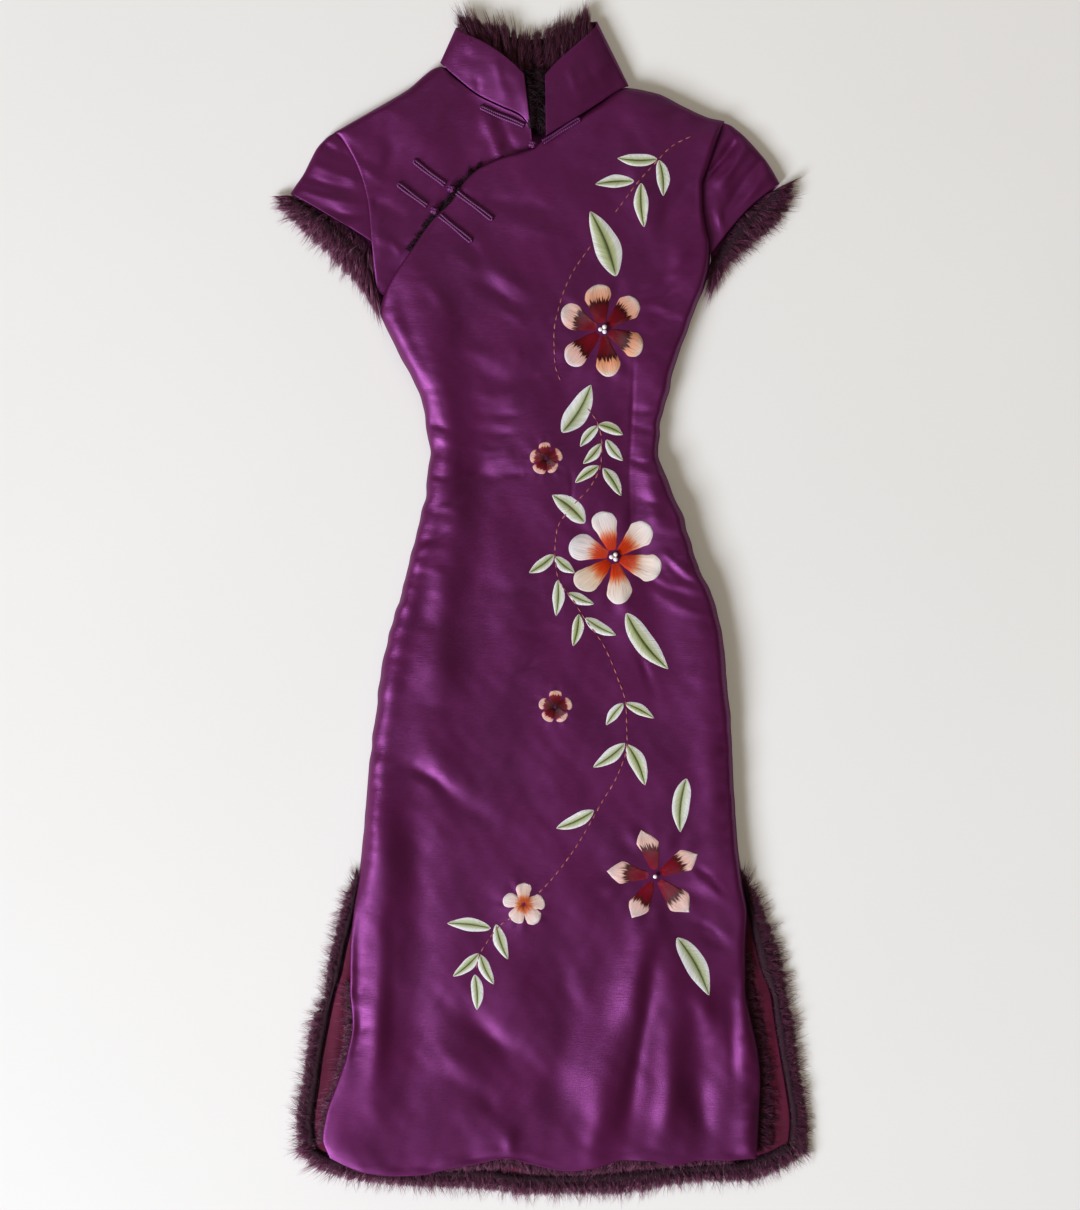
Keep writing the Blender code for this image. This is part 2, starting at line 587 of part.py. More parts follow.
def sleeve_grid(table, bow):
    """Outer points of a cap sleeve: the front layer, the fold at its edge and the back layer."""
    rows = np.array(table, float)
    at = np.linspace(0.0, len(rows) - 1.0, SLEEVE_ROWS)
    rows = smooth_through(np.arange(len(rows)), rows, at)
    grid = []
    for index, (ax, ay, fx, fy, bx, by, height) in enumerate(rows):
        fold = np.array((fx, fy))
        ripe = (index / (len(rows) - 1.0)) ** 3
        fold_z = 0.5 * height
        line = []
        for share in SLEEVE_SHARES:
            flat = np.array((ax, ay)) * (1.0 - share) + fold * share
            flat[1] += bow * ripe * math.sin(math.pi * share)
            away = (1.0 - share) * math.hypot(fx - ax, fy - ay)
            wave = CUFF_WAVE * math.sin(index * 1.35) * math.sin(math.pi * share)
            z = fold_z + (height - fold_z) * rounded(away, CUFF_ROUNDING) + wave
            line.append((flat[0], flat[1], z))
        for share in reversed(SLEEVE_SHARES[:-1]):
            flat = np.array((bx, by)) * (1.0 - share) + fold * share
            flat[1] += bow * ripe * math.sin(math.pi * share)
            away = (1.0 - share) * math.hypot(fx - bx, fy - by)
            z = fold_z * (1.0 - rounded(away, CUFF_BACK_ROUNDING))
            line.append((flat[0], flat[1], z))
        grid.append(line)
    return np.array(grid)


def collar_grid():
    """Outer points of the stand collar, pressed flat so its two wings lie over its back."""
    band = np.array(COLLAR_BAND, float)
    at = np.linspace(0.0, len(band) - 1.0, 2 * len(band) - 1)
    band = smooth_through(np.arange(len(band)), band, at)
    grid = []
    for share in np.linspace(0.0, 1.0, 5):
        line = band[:, :3] * (1.0 - share) + band[:, 3:] * share
        line = line.copy()
        line[:, 2] += 1.0 * math.sin(math.pi * share) * (line[:, 2] > 12.0)
        grid.append(line)
    return np.array(grid)


def surface_below(objects):
    """A function giving the highest cloth, in millimetres, under a round spot at x, y."""
    graph = bpy.context.evaluated_depsgraph_get()
    trees = [BVHTree.FromObject(obj, graph) for obj in objects]

    def height(x, y, radius):
        found = 0.0
        for step in range(9):
            reach = radius if step < 8 else 0.0
            angle = step * math.pi / 4.0
            start = Vector((x + reach * math.cos(angle), y + reach * math.sin(angle), 80.0)) * MM
            for tree in trees:
                hit = tree.ray_cast(start, Vector((0.0, 0.0, -1.0)))[0]
                if hit:
                    found = max(found, hit.z / MM)
        return found

    return height


def frog_arm(name, tip, root, height, collection):
    """One arm of a frog closure: a cord laid out to its tip and back beside itself."""
    start = np.array(root, float)
    end = np.array(tip, float)
    run = end - start
    run_length = np.hypot(*run)
    ahead = run / run_length
    aside = np.array((-ahead[1], ahead[0])) * CORD_SPACING / 2.0
    flat = [start + aside + ahead * run_length * step / 5 for step in range(5)]
    for step in range(5):
        angle = math.pi * step / 4
        turn = aside * math.cos(angle) + ahead * (CORD_SPACING / 2.0) * math.sin(angle)
        flat.append(end + turn)
    flat.extend(start - aside + ahead * run_length * step / 5 for step in range(4, -1, -1))
    lift = REST_GAP + CORD_RADIUS
    heights = [height(spot[0], spot[1], CORD_RADIUS + 0.6) + lift for spot in flat]
    eased = [max(heights[max(0, i - 1):i + 2]) for i in range(len(heights))]
    curve = bpy.data.curves.new(name, "CURVE")
    curve.dimensions = "3D"
    curve.bevel_depth = CORD_RADIUS * MM
    curve.bevel_resolution = 2
    curve.use_fill_caps = True
    spline = curve.splines.new("POLY")
    spline.points.add(len(flat) - 1)
    for point, spot, z in zip(spline.points, flat, eased):
        point.co = (spot[0] * MM, spot[1] * MM, z * MM, 1.0)
    return add_object(name, curve, "plum_cord", collection)


def knot_rest(spot, height):
    """Height at which a knot's rounded underside meets what lies beneath it."""
    rests = []
    for share in (0.0, 0.4, 0.7, 0.9):
        rise = KNOT_SIZE[2] * (1.0 - math.sqrt(1.0 - share**2))
        reach = KNOT_SIZE[0] * (1.0 + KNOT_SWELL) * share
        rests.append(height(spot[0], spot[1], reach) - rise)
    return max(rests)


def frog_knot(name, spot, height, collection):
    """The round knot button between two arms."""
    mesh = bpy.data.meshes.new(name)
    bm = bmesh.new()
    bmesh.ops.create_uvsphere(bm, u_segments=12, v_segments=8, radius=1.0)
    centre = Vector((spot[0], spot[1], knot_rest(spot, height) + REST_GAP + KNOT_SIZE[2]))
    for vert in bm.verts:
        turn = 3.0 * math.atan2(vert.co.y, vert.co.x)
        swell = 1.0 + KNOT_SWELL * math.cos(turn) * (1.0 - vert.co.z**2)
        size = Vector(KNOT_SIZE) * swell
        vert.co = (centre + Vector(a * b for a, b in zip(vert.co, size))) * MM
    bm.to_mesh(mesh)
    bm.free()
    mesh.shade_smooth()
    return add_object(name, mesh, "plum_cord", collection)


def build_cloth(collection):
    """Every satin and lining piece, with the pieces that closures lie on."""
    edge = (0.0, 2.0, 6.0, 12.0, 20.0)
    front = front_panel()
    across = stations(BODY_WIDTH, FRONT_STEPS[1], edge, edge) / BODY_WIDTH
    along = stations(front.length, FRONT_STEPS[0], (0.0, 10.0), edge)
    made = [cloth_object("front_panel", front.points(along, across), FRONT_WALL,
                         "plum_satin", collection)]
    under = under_panel()
    across = stations(UNDER_WIDTH, UNDER_STEPS[1], (0.0, 6.0), (0.0,)) / UNDER_WIDTH
    along = stations(under.length, UNDER_STEPS[0], (0.0,), edge)
    made.append(cloth_object("under_panel", under.points(along, across), UNDER_WALL,
                             "plum_satin", collection))
    back = back_panel()
    back_edge = (0.0, 3.0, 9.0)
    across = stations(BODY_WIDTH, BACK_STEPS[1], back_edge, back_edge) / BODY_WIDTH
    along = stations(back.length, BACK_STEPS[0], (0.0,), back_edge)
    cloth_object("back_panel", back.points(along, across), BACK_WALL,
                 "plum_satin", collection, flip=True)
    cloth_object("back_lining", lining_grid(), LINING_WALL, "dusty_lining", collection)
    cloth_object("sleeve_right", sleeve_grid(RIGHT_SLEEVE, RIGHT_CUFF_BOW), SLEEVE_WALL,
                 "plum_satin", collection)
    cloth_object("sleeve_left", sleeve_grid(LEFT_SLEEVE, LEFT_CUFF_BOW), SLEEVE_WALL,
                 "plum_satin", collection, flip=True)
    made.append(cloth_object("collar", collar_grid(), COLLAR_WALL, "plum_satin",
                             collection, flip=True))
    return made


def build_fur(collection):
    """Every strip of fur. It returns the one that closures lie on."""
    fur_object("collar_fur", COLLAR_FUR, COLLAR_FUR_HEIGHTS, collection)
    fur_object("cuff_fur_right", RIGHT_CUFF_FUR, CUFF_FUR_HEIGHTS, collection)
    fur_object("cuff_fur_left", LEFT_CUFF_FUR, CUFF_FUR_HEIGHTS, collection)
    fur_object("back_fur_right", BACK_FUR_RIGHT, FLOOR_FUR_HEIGHTS, collection)
    fur_object("back_fur_hem", BACK_FUR_HEM, FLOOR_FUR_HEIGHTS, collection)
    fur_object("back_fur_left", BACK_FUR_LEFT, FLOOR_FUR_HEIGHTS, collection)
    fur_object("front_fur_right", FRONT_FUR_RIGHT, FRONT_FUR_HEIGHTS, collection)
    fur_object("front_fur_hem", FRONT_FUR_HEM, FRONT_FUR_HEIGHTS, collection)
    fur_object("front_fur_left", FRONT_FUR_LEFT, FRONT_FUR_HEIGHTS, collection)
    return fur_object("overlap_fur", OVERLAP_FUR, OVERLAP_FUR_HEIGHTS, collection)


def build_frogs(beneath, collection):
    """The three frog closures, each two arms and a knot."""
    height = surface_below(beneath)
    for number, (right_tip, right_root, left_tip, left_root, knot) in enumerate(FROGS, 1):
        frog_arm(f"frog_{number}_arm_right", right_tip, right_root, height, collection)
        frog_arm(f"frog_{number}_arm_left", left_tip, left_root, height, collection)
        frog_knot(f"frog_{number}_knot", knot, height, collection)


def main():
    """Clears the scene and models the garment."""
    for obj in list(bpy.data.objects):
        bpy.data.objects.remove(obj, do_unlink=True)
    collection = bpy.data.collections.new(OBJECT_NAME)
    bpy.context.scene.collection.children.link(collection)
    beneath = build_cloth(collection)
    beneath.append(build_fur(collection))
    bpy.context.view_layer.update()
    build_frogs(beneath, collection)


main()
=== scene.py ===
"""Looks of a padded satin qipao with fur trim, laid flat with its front up.

Tables are in millimetres, as in the part's source: +X is the wearer's left, +Y runs from the hem
to the collar and +Z points up from the surface. Meshes are made in metres.
"""

import logging
import math
from dataclasses import dataclass
from enum import Enum

import bpy
import numpy as np
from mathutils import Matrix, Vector
from mathutils.bvhtree import BVHTree


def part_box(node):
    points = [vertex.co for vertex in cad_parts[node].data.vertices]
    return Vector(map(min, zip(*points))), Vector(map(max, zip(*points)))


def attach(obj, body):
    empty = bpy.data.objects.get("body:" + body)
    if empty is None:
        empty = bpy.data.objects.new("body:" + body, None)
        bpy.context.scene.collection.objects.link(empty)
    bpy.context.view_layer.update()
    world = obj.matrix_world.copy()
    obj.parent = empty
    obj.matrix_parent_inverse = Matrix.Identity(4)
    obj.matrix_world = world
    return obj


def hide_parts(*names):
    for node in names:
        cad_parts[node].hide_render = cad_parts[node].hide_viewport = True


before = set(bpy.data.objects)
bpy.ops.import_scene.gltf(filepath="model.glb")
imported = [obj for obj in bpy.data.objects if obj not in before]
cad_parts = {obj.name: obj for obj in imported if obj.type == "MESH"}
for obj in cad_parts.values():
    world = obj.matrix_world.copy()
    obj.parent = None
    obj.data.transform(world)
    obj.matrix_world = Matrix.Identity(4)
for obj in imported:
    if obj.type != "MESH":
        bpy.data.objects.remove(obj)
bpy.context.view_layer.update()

LOG = logging.getLogger("qipao")
MM = 0.001
BODY = "root"

# Cloth: how thick each shell looks at its edges, and the heights of its seams.
SHELL = 1.5
LINING_SHELL = 0.9
SEAM_HEIGHT = 5.5
SLIT_HEIGHT = 13.0
SLIT_TOP_HEIGHT = 8.0
SIDE_LIFT = 2.3
SLIT_TOP_LIFT = 0.3
SEAM_GAP = 0.4
LINING_BASE = 2.9
LINING_INSET = 3.0
LINING_HEM_SHARE = 0.985
LINE_SPREAD = 150.0
UNDER_LINE_SPREAD = 110.0

# Edges of a sheet: how soft in shares of its thickness, from what angle in degrees, and how far a
# turned hem bulges in shares of its drop.
EDGE_SOFTNESS = 0.3
EDGE_ANGLE = 60.0
FOLD_BULGE = 0.35

# Where rays that look for cloth start, in metres above the floor, and the least length divided by.
RAY_START = 0.1
TINY = 1e-6

# The reach of a flower that draws the cloth in fully, and the rows of cloth turned under a hem.
LARGE_FLOWER = 40.0
HEM_ROWS = 5

# Grids of the fine surfaces: typical widths, then the step between points.
BODY_WIDTH = 350.0
UNDER_WIDTH = 160.0
FINE_STEP = 2.5
MEDIUM_STEP = 5.0
EDGE_STATIONS = (0.0, 0.7, 1.8, 3.2, 5.0, 7.2, 9.8, 12.5, 15.5, 19.0, 22.5)

# Sewn sides, from the slit tops to the armpits. Columns: y, right x, left x, loft.
SIDE_ROWS = (
    (-280, -182.6, 201.5, 17.5),
    (-236, -178.0, 196.0, 18.5),
    (-156, -171.0, 191.5, 19.5),
    (-76, -161.0, 186.0, 20.0),
    (-36, -153.0, 181.0, 20.0),
    (4, -142.0, 172.0, 20.0),
    (44, -132.0, 155.5, 19.5),
    (84, -120.0, 143.0, 19.0),
    (124, -113.0, 126.0, 18.5),
    (150, -111.0, 118.0, 18.5),
    (176, -114.5, 119.0, 18.5),
    (204, -118.5, 125.0, 19.0),
    (244, -138.0, 135.5, 20.0),
    (284, -158.5, 150.0, 20.0),
)

# Free edges of the front below the slit tops, hem first. Columns: y, right x, left x, loft.
FRONT_SLIT_ROWS = (
    (-554, -211.0, 215.0, 14.5),
    (-535, -218.0, 216.5, 15.0),
    (-510, -214.0, 217.5, 15.0),
    (-480, -203.5, 219.0, 15.0),
    (-448, -193.0, 216.5, 15.5),
    (-420, -188.0, 210.5, 15.5),
    (-384, -190.5, 204.0, 16.0),
    (-345, -190.3, 204.0, 16.5),
    (-310, -187.0, 205.5, 17.0),
)

# Front above the armpits. Columns: overlap x, y, height, armhole x, y, height, loft.
FRONT_BODICE_ROWS = (
    (-161, 292, 5.5, 154, 296, 5.5, 20.0),
    (-156, 311, 12.0, 163.5, 318, 8.0, 20.0),
    (-144, 332, 16.8, 168, 338, 10.5, 20.0),
    (-127, 356, 18.6, 169, 358, 12.0, 20.0),
    (-108, 383, 18.6, 164.5, 380, 12.5, 20.0),
    (-89, 402, 18.6, 162, 402, 12.5, 20.0),
    (-77, 420, 18.6, 162, 420, 12.5, 20.0),
    (-73, 425, 18.6, 168, 437, 11.5, 20.0),
    (-68, 430, 18.6, 175.5, 459, 10.0, 20.0),
    (-62, 435, 18.6, 183, 483, 8.0, 20.0),
)

# Under panel, foot first. Columns: armhole x, y, height, hidden edge x, y, height, loft.
UNDER_ROWS = (
    (-163.5, 312, 6.4, -142, 300, 6.4, 6.4),
    (-165.5, 326, 7.5, -122, 331, 8.5, 8.5),
    (-168, 345, 10.0, -106, 352, 11.0, 11.0),
    (-169.6, 364, 12.0, -90, 372, 12.0, 12.3),
    (-171.6, 394, 12.0, -68, 398, 12.3, 12.3),
    (-176.6, 419, 12.0, -46, 418, 12.3, 12.3),
    (-187, 445, 11.0, -22, 432, 12.3, 12.3),
    (-201.5, 467.5, 9.0, -8, 446, 12.6, 12.3),
    (-207, 472, 8.0, -10, 475, 13.5, 12.3),
)

# Free edges of the back below the slit tops. Columns: right x, y, left x, y.
BACK_SLIT_ROWS = (
    (-226.6, -546, 250.6, -540),
    (-229.6, -520, 252.4, -518),
    (-225.6, -487, 248.4, -487),
    (-221.0, -453, 242.6, -453),
    (-215.0, -421, 237.4, -421),
    (-208.4, -391, 233.0, -391),
    (-202.4, -370, 224.2, -368),
    (-197.4, -345, 217.3, -342),
    (-191.5, -322, 211.6, -319),
    (-186.5, -299, 206.0, -297),
)

# Armholes of the back. Columns: right x, y, left x, y.
BACK_ARMHOLE_ROWS = (
    (-161, 292, 154, 296),
    (-165, 320, 163.5, 318),
    (-169, 364, 169, 358),
    (-171, 394, 164.5, 382),
    (-176, 419, 162, 420),
    (-186, 444, 168, 438),
    (-201, 467, 175.5, 459),
    (-207, 472, 183, 483),
)

# Hem and top lines. Columns: x, y, height.
FRONT_HEM = (
    (-211, -554, 13.0), (-195, -562, 13.0), (-175, -569, 13.0), (-147, -572, 13.0),
    (-121, -571, 13.0), (-97, -566, 13.5), (-67, -560, 14.5), (-33, -554, 16.0),
    (-9, -560, 15.0), (29, -567, 14.0), (53, -564, 14.5), (83, -556, 13.0),
    (107, -556, 15.0), (133, -561, 14.0), (160, -556, 13.0), (187, -556, 14.0),
    (215, -554, 13.0),
)
FRONT_TOP = (
    (-62, 435, 18.6), (-38, 446, 18.6), (-11, 454, 18.6), (4, 464, 18.6), (39, 486, 17.5),
    (60, 500, 15.5), (85, 516, 9.0), (115, 511, 6.5), (144, 497, 6.5), (169, 486, 7.0),
    (183, 483, 8.0),
)
UNDER_HEM = ((-163.5, 312, 6.4), (-152, 307, 6.4), (-142, 300, 6.4))
UNDER_TOP = (
    (-207, 472, 8.0), (-169, 494, 6.5), (-135, 514, 6.5), (-100, 538, 7.5),
    (-86, 526, 10.5), (-63, 508, 12.5), (-41, 497, 13.5), (-20, 487, 13.8), (-10, 475, 13.5),
)
BACK_HEM = (
    (-226.6, -546, 0), (-215, -553.6, 0), (-195, -559.6, 0), (-175, -563.6, 0),
    (-121, -567.6, 0), (-67, -567.0, 0), (-14, -573.6, 0), (40, -572.6, 0), (93, -570.6, 0),
    (134, -564.6, 0), (165, -562.6, 0), (200, -560.6, 0), (226, -553.6, 0), (250.6, -540, 0),
)
BACK_TOP = (
    (-207, 472, 1.5), (-169, 494, 2.3), (-135, 514, 2.3), (-100, 538, 1.5), (-60, 533, 0),
    (-10, 526, 0), (40, 519, 0), (85, 516, 1.5), (115, 511, 2.3), (144, 497, 2.3),
    (169, 486, 2.3), (183, 483, 1.5),
)

# Sleeves, shoulder first. Columns: armhole x, y, fold x, y, back armhole x, y, height.
RIGHT_SLEEVE = (
    (-208.5, 470.5, -215, 467.0, -208.5, 470.5, 9.0),
    (-197.5, 459, -224, 457, -197.0, 459, 10.5),
    (-187.0, 443, -231, 444, -186.5, 441, 11.5),
    (-177.2, 417, -238, 430, -176.0, 410, 12.0),
    (-172.2, 391, -245, 420, -171.0, 374, 12.0),
    (-171.0, 364, -251, 411, -167.5, 337, 12.0),
)
LEFT_SLEEVE = (
    (184.5, 481, 191, 479, 184.5, 481, 9.0),
    (178.0, 462, 203, 469, 178.0, 461, 11.0),
    (169.5, 439, 216, 455, 169.5, 438, 12.0),
    (163.5, 414, 226, 443, 163.5, 410, 12.5),
    (165.6, 388, 233, 432, 169.0, 372, 12.5),
    (171.2, 352, 239, 421, 171.0, 330, 12.0),
)
RIGHT_CUFF_BOW = 1.0
LEFT_CUFF_BOW = 7.0

# Collar band from the right wing's front edge round to the left one's.
# Columns: neck seam x, y, height, top edge x, y, height.
COLLAR_BAND = (
    (-10.5, 477, 15.5, -17, 529, 19.5),
    (-20, 489, 15.5, -27, 539, 20.0),
    (-41, 498.8, 15.0, -43, 552, 19.5),
    (-63, 510, 14.0, -60, 562.5, 18.0),
    (-86, 528.2, 12.0, -74, 569.5, 15.0),
    (-98, 539, 9.5, -83, 574, 10.5),
    (-101, 542, 6.5, -85.5, 576.5, 6.5),
    (-97, 541.5, 1.2, -81, 578.5, 1.2),
    (-85, 538.2, 0.5, -70, 577, 0.5),
    (-60, 534.2, 0.0, -46, 571.5, 0.0),
    (-10, 527.2, 0.0, -12, 566, 0.0),
    (40, 520.2, 0.0, 16, 570, 0.0),
    (70, 518.6, 0.5, 38, 578.5, 0.5),
    (82, 518.8, 1.2, 50, 583.5, 1.2),
    (87.8, 519, 6.5, 56, 583.5, 6.5),
    (86, 518, 10.5, 55.5, 579, 11.0),
    (75, 512.6, 13.5, 49, 571.5, 15.5),
    (60, 502.4, 17.0, 38, 561, 19.0),
    (39, 488.4, 19.5, 23, 548, 21.5),
    (20, 477, 20.5, 12, 537, 22.5),
    (5, 467.6, 21.0, 4, 528, 23.0),
)

# Fur strips. Columns: hidden or sewn edge x, y, outer edge x, y.
COLLAR_FUR = (
    (-74, 553, -79, 585), (-66, 545, -70, 583), (-55, 533, -60, 581), (-45, 525, -50, 579),
    (-35, 514, -38, 577), (-25, 500, -27, 574), (-14, 478, -16, 572), (-3, 470, -5, 575),
    (8, 474, 6, 577), (20, 486, 17, 580), (31, 498, 28, 583), (40, 510, 36, 586),
    (48, 524, 42, 589), (52, 536, 46, 591),
)
RIGHT_CUFF_FUR = (
    (-243, 407, -265, 408), (-238, 402.5, -260, 398), (-231, 398, -252, 389),
    (-223, 392, -242, 379), (-214, 386, -232, 369), (-205, 379, -221, 359),
    (-196, 371.5, -209, 348), (-187, 364, -199, 337), (-180, 356, -189, 326),
    (-175, 348, -180, 315), (-171.5, 340, -173, 305), (-168.8, 332, -167, 296),
)
LEFT_CUFF_FUR = (
    (233, 413, 252, 423), (228, 407, 250, 410), (221, 400, 245, 396), (213, 393, 236, 384),
    (205, 386, 226, 374), (198, 378, 216, 366), (191, 369, 206, 359), (185, 360, 196, 351),
    (180, 351, 187, 341), (176, 343, 179, 329), (173, 337, 173, 318),
)
BACK_FUR_RIGHT = (
    (-183.6, -282, -186, -278), (-187, -299, -195, -297), (-192, -322, -201, -320),
    (-197.8, -345, -207, -344), (-202.8, -370, -212, -368), (-208.8, -391, -213, -389),
    (-215.4, -421, -227, -418), (-221.4, -453, -233, -451), (-226, -487, -238, -486),
    (-230, -518, -243, -517), (-228, -541, -242, -543),
)
BACK_FUR_HEM = (
    (-226.6, -546.6, -239, -551), (-215, -554.2, -226, -564), (-195, -560.2, -199, -573),
    (-175, -564.2, -177, -577), (-121, -568.2, -121, -582), (-67, -568.2, -67, -584),
    (-14, -574.2, -14, -590), (40, -573.2, 40, -590), (93, -571.2, 93, -588),
    (134, -565.2, 135, -580), (165, -563.2, 166, -577), (200, -561.2, 203, -577),
    (226, -554.2, 233, -568), (249, -541.6, 259, -553),
)
BACK_FUR_LEFT = (
    (201.8, -282, 204.4, -278), (206.5, -297, 215, -294), (212.2, -319, 224, -316),
    (217.8, -342, 234, -340), (224.7, -368, 241, -364), (233.5, -391, 243, -388),
    (237.9, -421, 251, -419), (243.1, -453, 255, -452), (248.9, -487, 260, -487),
    (252.9, -518, 265, -517), (252.2, -536, 266, -541),
)
FRONT_FUR_RIGHT = (
    (-177, -384, -194, -384), (-174, -420, -194, -420), (-179, -448, -198, -449),
    (-189, -480, -208, -482), (-199, -508, -219, -512), (-203, -532, -222, -537),
)
FRONT_FUR_HEM = (
    (-190, -544, -203, -556), (-170, -552, -177, -562), (-145, -556, -147, -565.5),
    (-121, -555, -121, -566), (-97, -552, -97, -566), (-67, -547, -67, -566),
    (-33, -542, -33, -564), (-9, -546, -9, -569), (29, -553, 29, -571.5),
    (53, -551, 53, -570), (83, -544, 83, -566), (107, -543, 107, -564),
    (133, -546, 133, -562.5), (160, -543, 160, -561), (185, -542, 188, -559.5),
)
FRONT_FUR_LEFT = (
    (190, -352, 209, -352), (190, -384, 212, -382), (197, -420, 221, -418),
    (203, -448, 227, -447), (205, -480, 231, -480), (204, -512, 232, -513),
    (202, -536, 231, -540),
)
OVERLAP_FUR = (
    (-118, 342, -134, 354), (-108, 353, -124, 366), (-100, 364, -117, 378),
    (-92, 375, -110, 388), (-80, 388, -97, 402), (-68, 402, -84, 417),
    (-60, 415, -74, 430), (-50, 422, -61, 440),
)

# Section of a fur strip. Columns: share of the way out, share of the height.
FUR_SECTION = (
    (0.0, 0.45), (0.14, 0.88), (0.42, 1.0), (0.76, 0.8),
    (1.0, 0.34), (0.84, 0.0), (0.42, 0.0), (0.12, 0.0),
)

# Frog closures. Columns: outer end of the right arm, its knot end, outer end of the left arm and
# its knot end, each as x, y.
FROGS = (
    ((-59, 496), (-17, 478), (37, 483), (2, 461)),
    ((-126, 442), (-96, 419), (-50, 385), (-84, 411)),
    ((-142, 419), (-114, 398), (-71, 363), (-101, 388)),
)


@dataclass(frozen=True)
class Crease:
    """A soft trough or ridge of cloth along a line, in millimetres. A trough's height is negative."""

    path: tuple[tuple[float, float], ...]
    width: float
    height: float


def creases(*rows: tuple[float, ...]) -> tuple[Crease, ...]:
    """Reads troughs and ridges from rows.

    Args:
        rows: each one's width and height, then x and y of every point along it.

    Returns:
        The creases, in the same order.
    """
    return tuple(Crease(tuple(zip(row[2::2], row[3::2])), row[0], row[1]) for row in rows)


